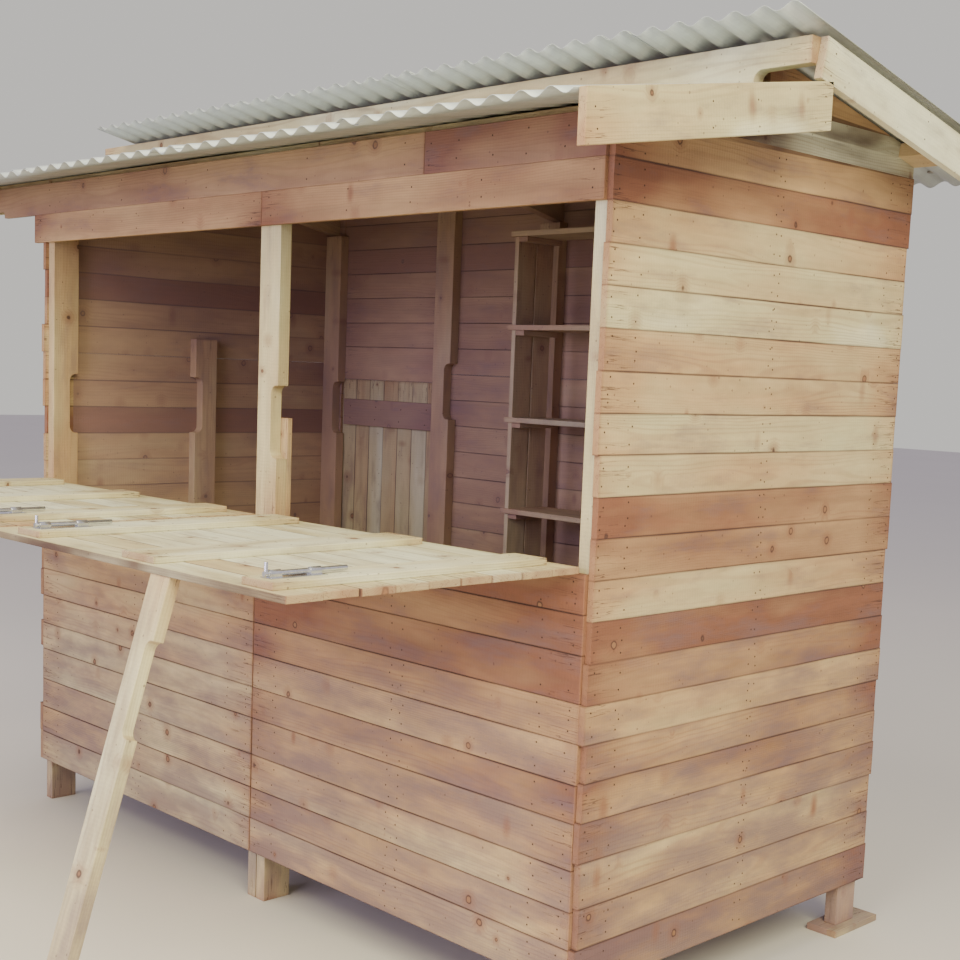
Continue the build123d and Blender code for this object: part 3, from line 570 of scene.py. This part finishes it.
def mark_grain(bm, tones, dice, run=None):
    """Give each board its own stretch of grain, which follows its length, and its own tone."""
    grain = bm.verts.layers.float_vector.new("grain")
    place = bm.verts.layers.float_vector.new("place")
    tone = bm.verts.layers.float.new("tone")
    half = bm.verts.layers.float_vector.get("half")
    whole = half is None
    if whole:
        half = bm.verts.layers.float_vector.new("half")
    groups = islands(bm)
    centres = [[fsum(v.co[k] for v in g) / len(g) for k in range(3)] for g in groups]
    order = sorted(range(len(groups)),
                   key=lambda i: tuple(round(c, 3) for c in reversed(centres[i])))
    for rank, index in enumerate(order):
        group = groups[index]
        along = run or lengthwise(group)
        faces = {f for v in group for f in v.link_faces}
        # Both broad sides are alike, so the one that faces forward is taken in every run
        out = forward(max(faces, key=lambda f: f.calc_area()).normal)
        side = out.cross(along).normalized()
        frame_axes = (along, side, out)
        middle = Vector([sum(spread(group, axis)) / 2 for axis in frame_axes])
        # Where in its log the board was sawn: how far along it, and how far off the pith
        away = Vector((dice.uniform(0, 60), dice.uniform(-0.06, 0.06),
                       dice.choice((-1, 1)) * dice.uniform(0.02, 0.12)))
        shade = tones[rank % len(tones)] if tones else dice.uniform(0.05, 0.6)
        shade += dice.uniform(-0.04, 0.04)
        butts = {v for f in faces if abs(f.normal.dot(along)) > 0.8 for v in f.verts}
        reach = spread(group, along)[1] - middle[0]
        for vert in group:
            local = Vector([vert.co.dot(axis) for axis in frame_axes]) - middle
            vert[grain] = local + away
            vert[place] = local
            vert[tone] = shade
            margin = (reach, 1) if whole else vert[half]
            vert[half] = Vector((margin[0], margin[1], float(vert in butts)))
    return len(groups)


def piece(bm, name, material, body, nodes):
    """Finish a mesh as a piece of the kiosk that rides on a body and stands for CAD nodes."""
    mesh = bpy.data.meshes.new(name)
    bm.to_mesh(mesh)
    bm.free()
    mesh.materials.append(material)
    thing = bpy.data.objects.new(name, mesh)
    bpy.context.scene.collection.objects.link(thing)
    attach(thing, body)
    if nodes:
        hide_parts(*nodes)
    return thing


def pick_material(name, make):
    """The material of this name, made on its first use."""
    return bpy.data.materials.get(name) or make()


def pine():
    """The usual timber of the kiosk."""
    return pick_material("rough-sawn pine", lambda: rough_pine("rough-sawn pine", 0.0))


def old_pine():
    """Timber that has greyed, of the door and the fascia."""
    return pick_material("weathered pine", lambda: rough_pine("weathered pine", 0.2))


def body_of(node):
    """The body that a CAD node moves with."""
    return frame["nodes"][node]["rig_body"]


# No strip narrower than this is sawn off the edge of a slab
NARROWEST = 0.012


def timber(node, tones=(), joints=(), across=Z, along=X, material=None, slot="pallet_pine",
           ragged=0.0, taller=0.0):
    """Dress a timber node: cut it into boards, wear its edges and lay grain along each board."""
    settings = bpy.context.scene.kiosk_timber
    dice = random.Random(f"{node}{settings.seed}")
    bm = cad_solid(node)
    if taller:
        bm.normal_update()
        for vert in {v for f in bm.faces if f.normal.z > 0.7 for v in f.verts}:
            vert.co.z += taller
    if joints:
        low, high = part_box(node)
        ends = low.dot(across) + NARROWEST, high.dot(across) - NARROWEST
        bm = sawn(bm, across, along, [j for j in joints if ends[0] < j < ends[1]], ragged, dice)
    rounded(bm, settings.edge_wear, sharp=25)
    count = mark_grain(bm, tones, dice, along if joints else None)
    if not count:
        raise RuntimeError(f"{node} has no boards")
    return piece(bm, f"{node}_timber", material or pine(), body_of(node), (node,))


# Heights of the joints between the boards, read off each wall from the ground up
SIDE_JOINTS = (0.233, 0.325, 0.428, 0.519, 0.605, 0.690, 0.776, 0.866, 0.957, 1.046, 1.134, 1.223,
               1.311, 1.399, 1.487, 1.576, 1.664, 1.750, 1.836, 1.924, 2.016, 2.104)
SEAM_JOINTS = (0.230, 0.317, 0.410, 0.512, 0.598, 0.690, 0.778, 0.884, 0.972)
BACK_JOINTS = tuple(0.135 + 0.0885 * i for i in range(1, 22))
# Tones of each wall's boards from the ground up: 0 is pale, 0.5 warm and 1 red
RIGHT_TONES = (0.8, 0.5, 0.5, 0.56, 0.66, 0.66, 0.5, 0.8, 0.98, 0.34, 0.68, 0.74, 0.24, 0.1,
               0.32, 0.36, -0.04, 0.14, 0.28, 0.84, 0.55, -0.1, -0.25)
FRONT_TONES = (0.34, 0.46, 0.36, 0.48, 0.68, 0.46, 0.66, 0.86, 0.8, 0.85)
LEFT_TONES = (0.15, 0.25, 0.22, 0.18, 0.2, 0.25, 0.4, 0.45, 0.5, 0.55)
INNER_TONES = (0.2, 0.25, 0.15, 0.25, 0.2, 0.2, 0.25, 0.3, 0.2, 0.15, 0.2, 0.15, 0.75, 0.2, 0.3,
               0.2, 0.25, 0.75, 0.4, 0.35, 0.4, 0.45)
# On the back walls the board from 1.82 to 1.91 m has tone 0.9, a painted shadow for the dark band
# under the top plate
BACK_TONES = (0.35, 0.25, 0.4, 0.25, 0.35, 0.25, 0.3, 0.4, 0.25, 0.35, 0.2, 0.3, 0.25, 0.4, 0.25,
              0.35, 0.45, 0.35, 0.45, 0.9, 0.5, 0.5)
# Tones of a flap's boards, bleached by the sun
FLAP_TONES = (-0.1, 0.02, -0.25, -0.15, -0.3, -0.2, -0.3, -0.1)
# Places of the nail columns along a side wall, over the posts and studs behind it
SIDE_NAILS = (-0.162, -0.080, 0.408, 0.426, 0.905, 0.991)
# Nail columns of a front panel and of the back wall: a share of the width and a distance from it
PANEL_NAILS = ((0, 0.025), (0, 0.1), (0.5, -0.02), (0.5, 0.02), (1, -0.12), (1, -0.03))
BACK_NAILS = ((0, 0.03), (1, -0.03))


class KIOSK_OT_cladding(bpy.types.Operator):
    """Board the walls of the kiosk"""
    bl_idname = "kiosk.cladding"
    bl_label = "Wall boards"

    def execute(self, context):
        timber("right_wall", RIGHT_TONES, SIDE_JOINTS, Z, Y, ragged=0.012)
        timber("left_wall", INNER_TONES, SIDE_JOINTS, Z, Y, ragged=0.012)
        timber("front_panel_right", FRONT_TONES, SEAM_JOINTS, ragged=0.002)
        timber("front_panel_left", LEFT_TONES, SEAM_JOINTS, ragged=0.002)
        for node in ("back_wall_left", "back_wall_right", "door_sill"):
            timber(node, BACK_TONES, BACK_JOINTS, ragged=0.003)
        timber("back_wall_over_door", BACK_TONES[15:], BACK_JOINTS[15:])
        timber("header", (0.5, 0.6))
        timber("fascia", (0.65, 0.8), material=old_pine())
        return {"FINISHED"}


# The front verge boards reach up past the CAD's, and hide the side edges of the sheets
VERGE_COVER = 0.012


class KIOSK_OT_framing(bpy.types.Operator):
    """Dress the posts, rails, rafters and purlins"""
    bl_idname = "kiosk.framing"
    bl_label = "Posts and rails"

    def execute(self, context):
        pale = ("middle_post", "middle_rails", "upper_purlin", "foot_pad", "right_prop",
                "left_prop")
        warm = ("back_left_post", "back_right_post", "middle_post_backer", "side_studs",
                "front_studs", "back_stud", "door_post", "counter_rails", "floor_joists",
                "front_rafters", "rear_rafters", "front_purlins", "back_purlin")
        for node in pale:
            timber(node, (0.04, 0.12))
        timber("front_posts", (0.26, -0.05))
        timber("front_verges", (-0.12, -0.06), taller=VERGE_COVER)
        timber("rear_verges", (-0.3, -0.26))
        for node in warm:
            timber(node, (0.1, 0.25, 0.2))
        return {"FINISHED"}


# Boards from the front to the back of a flap
FLAP_BOARDS = 9


class KIOSK_OT_flaps(bpy.types.Operator):
    """Board the serving flaps and batten them"""
    bl_idname = "kiosk.flaps"
    bl_label = "Serving flaps"

    def execute(self, context):
        for side in ("right", "left"):
            low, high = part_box(f"{side}_flap")
            pitch = (high.y - low.y) / FLAP_BOARDS
            joints = [low.y + pitch * i for i in range(1, FLAP_BOARDS)]
            timber(f"{side}_flap", FLAP_TONES, joints, Y, X, slot="weathered_board",
                   ragged=0.007)
            timber(f"{side}_flap_battens", (-0.15, -0.2, -0.08), slot="weathered_board")
        return {"FINISHED"}


# The door's upright boards reach up past the CAD leaf, to just under the wall over the door
DOOR_HEADROOM = 0.0057
DOOR_BOARDS = 7


class KIOSK_OT_door(bpy.types.Operator):
    """Board the back door and its ledges"""
    bl_idname = "kiosk.door"
    bl_label = "Back door"

    def execute(self, context):
        low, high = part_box("door_leaf")
        pitch = (high.x - low.x) / DOOR_BOARDS
        joints = [low.x + pitch * i for i in range(1, DOOR_BOARDS)]
        timber("door_leaf", (0.0, 0.15, -0.1, 0.2, 0.1), joints, X, Z, material=old_pine(),
               slot="weathered_board", taller=DOOR_HEADROOM)
        timber("door_ledges", (0.5, 0.45), material=old_pine(), slot="weathered_board")
        return {"FINISHED"}


# Width of a floor board with its joint, and their number
DECK_PITCH = 0.0945
DECK_BOARDS = 12


class KIOSK_OT_inside(bpy.types.Operator):
    """Board the floor and the shelves"""
    bl_idname = "kiosk.inside"
    bl_label = "Floor and shelves"

    def execute(self, context):
        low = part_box("floor_deck")[0]
        joints = [low.y + DECK_PITCH * i for i in range(1, DECK_BOARDS)]
        timber("floor_deck", (0.15, 0.05, 0.25), joints, Y, X)
        for node in ("shelf_uprights", "shelf_cleats", "shelves"):
            timber(node, (-0.2, 0.0, -0.1))
        return {"FINISHED"}


# How far a nail may miss its mark, and how far it may stray from its column on a wall
NAIL_SCATTER = 0.006
COLUMN_SCATTER = 0.007
# Shares of a board's width at which a pair of nails goes in, and a row of two or three on a wall
NAIL_PAIR = (0.24, 0.76)
NAIL_ROWS = ((0.25, 0.75), (0.22, 0.5, 0.8))


def fixings(node, normal, shares, dice):
    """A pair of nails across each board of a node at every share of its length."""
    bm = cad_solid(node)
    spots = []
    for group in islands(bm):
        along = lengthwise(group)
        side = normal.cross(along).normalized()
        start, end = spread(group, along)
        low, high = spread(group, side)
        face = spread(group, normal)[1]
        for share in shares:
            for across in NAIL_PAIR:
                run = (start + (end - start) * share
                       + dice.uniform(-NAIL_SCATTER, NAIL_SCATTER))
                rise = (low + (high - low) * across
                        + dice.uniform(-NAIL_SCATTER, NAIL_SCATTER))
                spots.append((along * run + side * rise + normal * face, normal))
    bm.free()
    return spots


# A strip of board lower than this gets no nails
NAILED_FROM = 0.05


def nail_grid(dice, face, normal, columns, joints, low, high):
    """Two or three nails for every board at every column of a wall, on its outer face."""
    spots = []
    rows = [low] + [j for j in joints if low < j < high] + [high]
    for column in columns:
        for bottom, top in zip(rows, rows[1:]):
            if top - bottom < NAILED_FROM:
                continue
            for share in dice.choice(NAIL_ROWS):
                place = face + column + Z * (bottom + (top - bottom) * share)
                across = normal.cross(Z)
                spots.append((place + across * dice.uniform(-COLUMN_SCATTER, COLUMN_SCATTER)
                              + Z * dice.uniform(-NAIL_SCATTER, NAIL_SCATTER), normal))
    return spots


# Depth of a nail head and how far its middle lies under the face of the board, and how much
# deeper it lies in the verge boards, which are the outermost
HEAD_DEPTH = 0.001
HEAD_SINK = 0.0003
VERGE_SINK = 0.00017


def nails(name, spots, body):
    """Nail heads of a few faces each, almost flush with the boards and within the CAD's width."""
    radius = bpy.context.scene.kiosk_timber.nail_radius
    bm = bmesh.new()
    for place, normal in spots:
        turn = Z.rotation_difference(normal).to_matrix().to_4x4()
        seat = Matrix.Translation(place - normal * HEAD_SINK)
        bmesh.ops.create_cone(bm, cap_ends=True, segments=7, radius1=radius,
                              radius2=radius * 0.8, depth=HEAD_DEPTH, matrix=seat @ turn)
    for vert in bm.verts:
        vert.co.x = min(max(vert.co.x, cad_box[0].x), cad_box[1].x)
    material = pick_material("rusted nail steel", lambda: plated_steel(
        "rusted nail steel", bpy.context.scene.kiosk_hardware.nail, 0.6, 300.0))
    return piece(bm, name, material, body, ())


class KIOSK_OT_nails(bpy.types.Operator):
    """Drive the nails in columns over the posts and studs"""
    bl_idname = "kiosk.nails"
    bl_label = "Nails"

    def execute(self, context):
        dice = random.Random(31)
        low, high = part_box("right_wall")
        columns = [Y * place for place in SIDE_NAILS]
        spots = nail_grid(dice, X * high.x, X, columns, SIDE_JOINTS, low.z, ROOM_TOP)
        nails("right_wall_nails", spots, "root")
        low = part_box("left_wall")[0]
        spots = nail_grid(dice, X * low.x, -X, columns, SIDE_JOINTS, low.z, ROOM_TOP)
        nails("left_wall_nails", spots, "root")
        spots = []
        for node in ("front_panel_left", "front_panel_right"):
            low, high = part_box(node)
            columns = [X * (low.x + (high.x - low.x) * share + off) for share, off in PANEL_NAILS]
            spots += nail_grid(dice, Y * low.y, -Y, columns, SEAM_JOINTS, low.z, high.z)
        nails("front_nails", spots, "root")
        spots = []
        for node in ("back_wall_left", "back_wall_right", "back_wall_over_door"):
            low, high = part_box(node)
            columns = [X * (low.x + (high.x - low.x) * share + off) for share, off in BACK_NAILS]
            spots += nail_grid(dice, Y * high.y, Y, columns, BACK_JOINTS, low.z, high.z)
        nails("back_nails", spots, "root")
        spots = fixings("header", -Y, (0.03, 0.3, 0.5, 0.7, 0.97), dice)
        spots += fixings("fascia", -Y, (0.03, 0.2, 0.4, 0.6, 0.8, 0.97), dice)
        for way in (X, -X):
            for node in ("front_verges", "rear_verges"):
                heads = fixings(node, way, (0.04, 0.47, 0.66, 0.96), dice)
                spots += [(place - way * VERGE_SINK, way) for place, way in heads]
        spots += fixings("floor_deck", Z, (0.02, 0.5, 0.98), dice)
        nails("trim_nails", spots, "root")
        for side in ("right", "left"):
            spots = fixings(f"{side}_flap_battens", Z, (0.06, 0.3, 0.5, 0.72, 0.94), dice)
            nails(f"{side}_flap_nails", spots, f"{side}_flap")
        nails("door_nails", fixings("door_ledges", -Y, (0.08, 0.36, 0.64, 0.92), dice), "door")
        return {"FINISHED"}


# Facets of half a wave of roofing and of the length of a sheet
WAVE_STEPS = 6
SHEET_STEPS = 8


def corrugated(bm, place, halves, run, lift, settings):
    """A sheet of so many half waves: a grid with its waves raised, then given its thickness."""
    made = bmesh.ops.create_grid(bm, x_segments=halves * WAVE_STEPS, y_segments=SHEET_STEPS,
                                 size=0.5)
    verts = made["verts"]
    width = halves * settings.wave / 2
    for vert in verts:
        turn = (vert.co.x + 0.5) * halves * pi
        vert.co = Vector(((vert.co.x + 0.5) * width, (vert.co.y + 0.5) * run,
                          lift + settings.depth / 2 * (1 + sin(turn))))
    bmesh.ops.transform(bm, matrix=place, verts=verts)
    faces = list(dict.fromkeys(f for v in verts for f in v.link_faces))
    bmesh.ops.solidify(bm, geom=faces, thickness=settings.steel)


# How far the sheets' front edges lie back from the CAD's: the rear ones reach as far as they do
# in the photograph, and each sheet may lie a little further back than its neighbour
FRONT_TRIM = 0.003
REAR_TRIM = 0.062
TRIM_PLAY = 0.016
# How far their upper or rear ends stop short of the CAD's
END_ROOM = 0.006
# The front sheets stop short of the CAD's on the left, behind the verge board as on the right
VERGE_ROOM = 0.021
# Height of the CAD's sheets over one wave
SHEET_RISE = 0.0185
# Half waves by which a sheet laps the next
LAP = 3
# Shares of each slope at which a row of roofing nails goes in, over the purlins
FRONT_ROWS = (0.3, 0.94)
REAR_ROWS = (0.2, 0.93)
# Radius of a roofing nail's head, and its height as a share of that
DOME = 0.011
DOME_RISE = 0.35


class KIOSK_OT_roof(bpy.types.Operator):
    """Lay the corrugated sheets of both slopes, each a little out of line with the last"""
    bl_idname = "kiosk.roof"
    bl_label = "Roof sheets"

    def execute(self, context):
        settings = context.scene.kiosk_roof
        dice = random.Random(12)
        material = pick_material("hot-dip galvanised steel", galvanised_steel)
        domes = []
        for node, rise, front, rows in (("front_sheets", 1, FRONT_TRIM, FRONT_ROWS),
                                        ("rear_sheets", -1, REAR_TRIM, REAR_ROWS)):
            low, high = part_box(node)
            bm = bmesh.new()
            slope = atan2(high.z - low.z - SHEET_RISE, high.y - low.y)
            if rise > 0:
                start = Vector((low.x, low.y, low.z))
            else:
                start = Vector((low.x, low.y, high.z - SHEET_RISE / cos(slope)))
            tilt = Matrix.Rotation(slope * rise, 4, "X")
            downhill = tilt @ Y
            total = round((high.x - low.x) / (settings.wave / 2))
            step = settings.cover * 2
            for i in range(ceil(total / step)):
                first = i * step
                halves = min(step + LAP, total - first)
                trim = front + dice.uniform(0, TRIM_PLAY)
                run = (high.y - low.y - END_ROOM) / cos(slope) - trim
                place = Matrix.Translation(start + X * first * settings.wave / 2
                                           + downhill * trim) @ tilt
                # Every second sheet lies on top of its neighbours
                lift = settings.steel * (1 + 3 * (i % 2))
                corrugated(bm, place, halves, run, lift, settings)
            if rise > 0:
                trimmed(bm, low + X * VERGE_ROOM, -X)
            bmesh.ops.recalc_face_normals(bm, faces=bm.faces)
            sheets = piece(bm, f"{node}_steel", material, "root", (node,))
            sheets.data.shade_smooth()
            reach = (high.y - low.y) / cos(slope)
            for share in rows:
                # A nail in every third crest
                for crest in range(1, total // 2, 3):
                    along = X * (crest + 0.25) * settings.wave
                    crown = tilt @ Vector((0, reach * share, settings.depth + settings.steel * 3))
                    domes.append((start + along + crown, tilt @ Z))
        bm = bmesh.new()
        for place, normal in domes:
            turn = Z.rotation_difference(normal).to_matrix().to_4x4()
            flat = Matrix.Diagonal((1, 1, DOME_RISE, 1))
            bmesh.ops.create_uvsphere(bm, u_segments=10, v_segments=6, radius=DOME,
                                      matrix=Matrix.Translation(place) @ turn @ flat)
        steel = pick_material("zinc plated steel", zinc_plate)
        piece(bm, "roofing_nails", steel, "root", ()).data.shade_smooth()
        return {"FINISHED"}


def zinc_plate():
    """Dull zinc plate of the hinges and the roofing nails."""
    return plated_steel("zinc plated steel", bpy.context.scene.kiosk_hardware.hinge, 0.4, 40.0)


class KIOSK_OT_hardware(bpy.types.Operator):
    """Finish the hinges and the barrel bolts"""
    bl_idname = "kiosk.hardware"
    bl_label = "Hinges and bolts"

    def execute(self, context):
        settings = context.scene.kiosk_hardware
        chrome = plated_steel("bright nickel plate", settings.chrome, 0.18, 60.0)
        zinc = pick_material("zinc plated steel", zinc_plate)
        for node in list(frame["nodes"]):
            if "bolt" in node or "hinge" in node or "leaves" in node:
                bright = "bolt" in node
                bm = cad_solid(node)
                rounded(bm, settings.polish, sharp=40)
                piece(bm, f"{node}_steel", chrome if bright else zinc, body_of(node),
                      (node,))
        return {"FINISHED"}


# The camera's place, its turn in degrees, and the point of the photograph that it looks
# straight at, in pixels of its square frame
CAMERA_PLACE = (3.2933, -2.4684, 1.475)
CAMERA_YAW, CAMERA_PITCH, CAMERA_ROLL = 45.85, 6.69, 2.19
FRAME_SIZE = 960
FRAME_CENTRE = (468.77, 541.08)
SKY_STRENGTH = 0.75


class KIOSK_OT_stage(bpy.types.Operator):
    """Set the floor, the lamps and the camera"""
    bl_idname = "kiosk.stage"
    bl_label = "Stage"

    def execute(self, context):
        scene = context.scene
        settings = scene.kiosk_stage
        bm = bmesh.new()
        bmesh.ops.create_grid(bm, x_segments=2, y_segments=2, size=30)
        mesh = bpy.data.meshes.new("floor")
        bm.to_mesh(mesh)
        bm.free()
        mesh.materials.append(swept_floor())
        floor = bpy.data.objects.new("studio_floor", mesh)
        scene.collection.objects.link(floor)

        world = bpy.data.worlds.new("soft sky")
        scene.world = world
        world.use_nodes = True
        tree = world.node_tree
        sky = tree.nodes["Background"]
        path = add(tree, "ShaderNodeLightPath")
        seen = add(tree, "ShaderNodeMix",
                   {0: path.outputs["Is Camera Ray"], 6: opaque(settings.sky),
                    7: opaque(settings.backdrop)}, data_type="RGBA")
        tree.links.new(seen.outputs[2], sky.inputs[0])
        sky.inputs[1].default_value = SKY_STRENGTH
        # Each lamp's place, width, power and colour
        for name, place, size, power, tint in (
            ("key", (5.2, -2.4, 4.4), 3.2, settings.key, settings.sun),
            ("top", (0.5, -4.5, 6.5), 5.0, settings.key * 0.8, settings.sun),
            ("left fill", (-2.2, -6.4, 2.3), 2.6, settings.key * 0.24, settings.shade),
            ("right fill", (2.0, -6.4, 2.3), 2.6, settings.key * 0.32, settings.shade),
        ):
            lamp = bpy.data.lights.new(name, "AREA")
            lamp.energy = power
            lamp.color = tint
            lamp.size = size
            holder = bpy.data.objects.new(name, lamp)
            holder.location = place
            aim = Vector((0, 0, 1)) - Vector(place)
            holder.rotation_euler = aim.to_track_quat("-Z", "Y").to_euler()
            scene.collection.objects.link(holder)

        yaw, pitch, roll = map(radians, (CAMERA_YAW, CAMERA_PITCH, CAMERA_ROLL))
        look = Vector((-sin(yaw) * cos(pitch), cos(yaw) * cos(pitch), -sin(pitch)))
        level = Vector((cos(yaw), sin(yaw), 0))
        above = level.cross(look)
        right = level * cos(roll) + above * sin(roll)
        up = above * cos(roll) - level * sin(roll)
        turn = Matrix((right, up, -look)).transposed().to_4x4()
        lens = bpy.data.cameras.new("camera")
        lens.lens = settings.focal
        lens.shift_x = (FRAME_SIZE / 2 - FRAME_CENTRE[0]) / FRAME_SIZE
        lens.shift_y = (FRAME_CENTRE[1] - FRAME_SIZE / 2) / FRAME_SIZE
        camera = bpy.data.objects.new("camera", lens)
        camera.matrix_world = Matrix.Translation(CAMERA_PLACE) @ turn
        scene.collection.objects.link(camera)
        scene.camera = camera
        return {"FINISHED"}


OPERATORS = (
    KIOSK_OT_cladding,
    KIOSK_OT_framing,
    KIOSK_OT_flaps,
    KIOSK_OT_door,
    KIOSK_OT_inside,
    KIOSK_OT_nails,
    KIOSK_OT_roof,
    KIOSK_OT_hardware,
    KIOSK_OT_stage,
)


class KIOSK_PT_panel(bpy.types.Panel):
    bl_idname = "KIOSK_PT_panel"
    bl_label = "Street kiosk"
    bl_space_type = "VIEW_3D"
    bl_region_type = "UI"
    bl_category = "Kiosk"

    def draw(self, context):
        for operator in OPERATORS:
            self.layout.operator(operator.bl_idname)


GROUPS = {
    "kiosk_timber": TimberSettings,
    "kiosk_roof": RoofSettings,
    "kiosk_hardware": HardwareSettings,
    "kiosk_stage": StageSettings,
}
CLASSES = (*GROUPS.values(), *OPERATORS, KIOSK_PT_panel)


def register():
    for cls in CLASSES:
        bpy.utils.register_class(cls)
    for name, group in GROUPS.items():
        setattr(bpy.types.Scene, name, PointerProperty(type=group))


def unregister():
    for name in GROUPS:
        delattr(bpy.types.Scene, name)
    for cls in reversed(CLASSES):
        bpy.utils.unregister_class(cls)


def main():
    register()
    for operator in OPERATORS:
        getattr(bpy.ops.kiosk, operator.bl_idname.split(".")[1])()


if __name__ == "__main__":
    main()
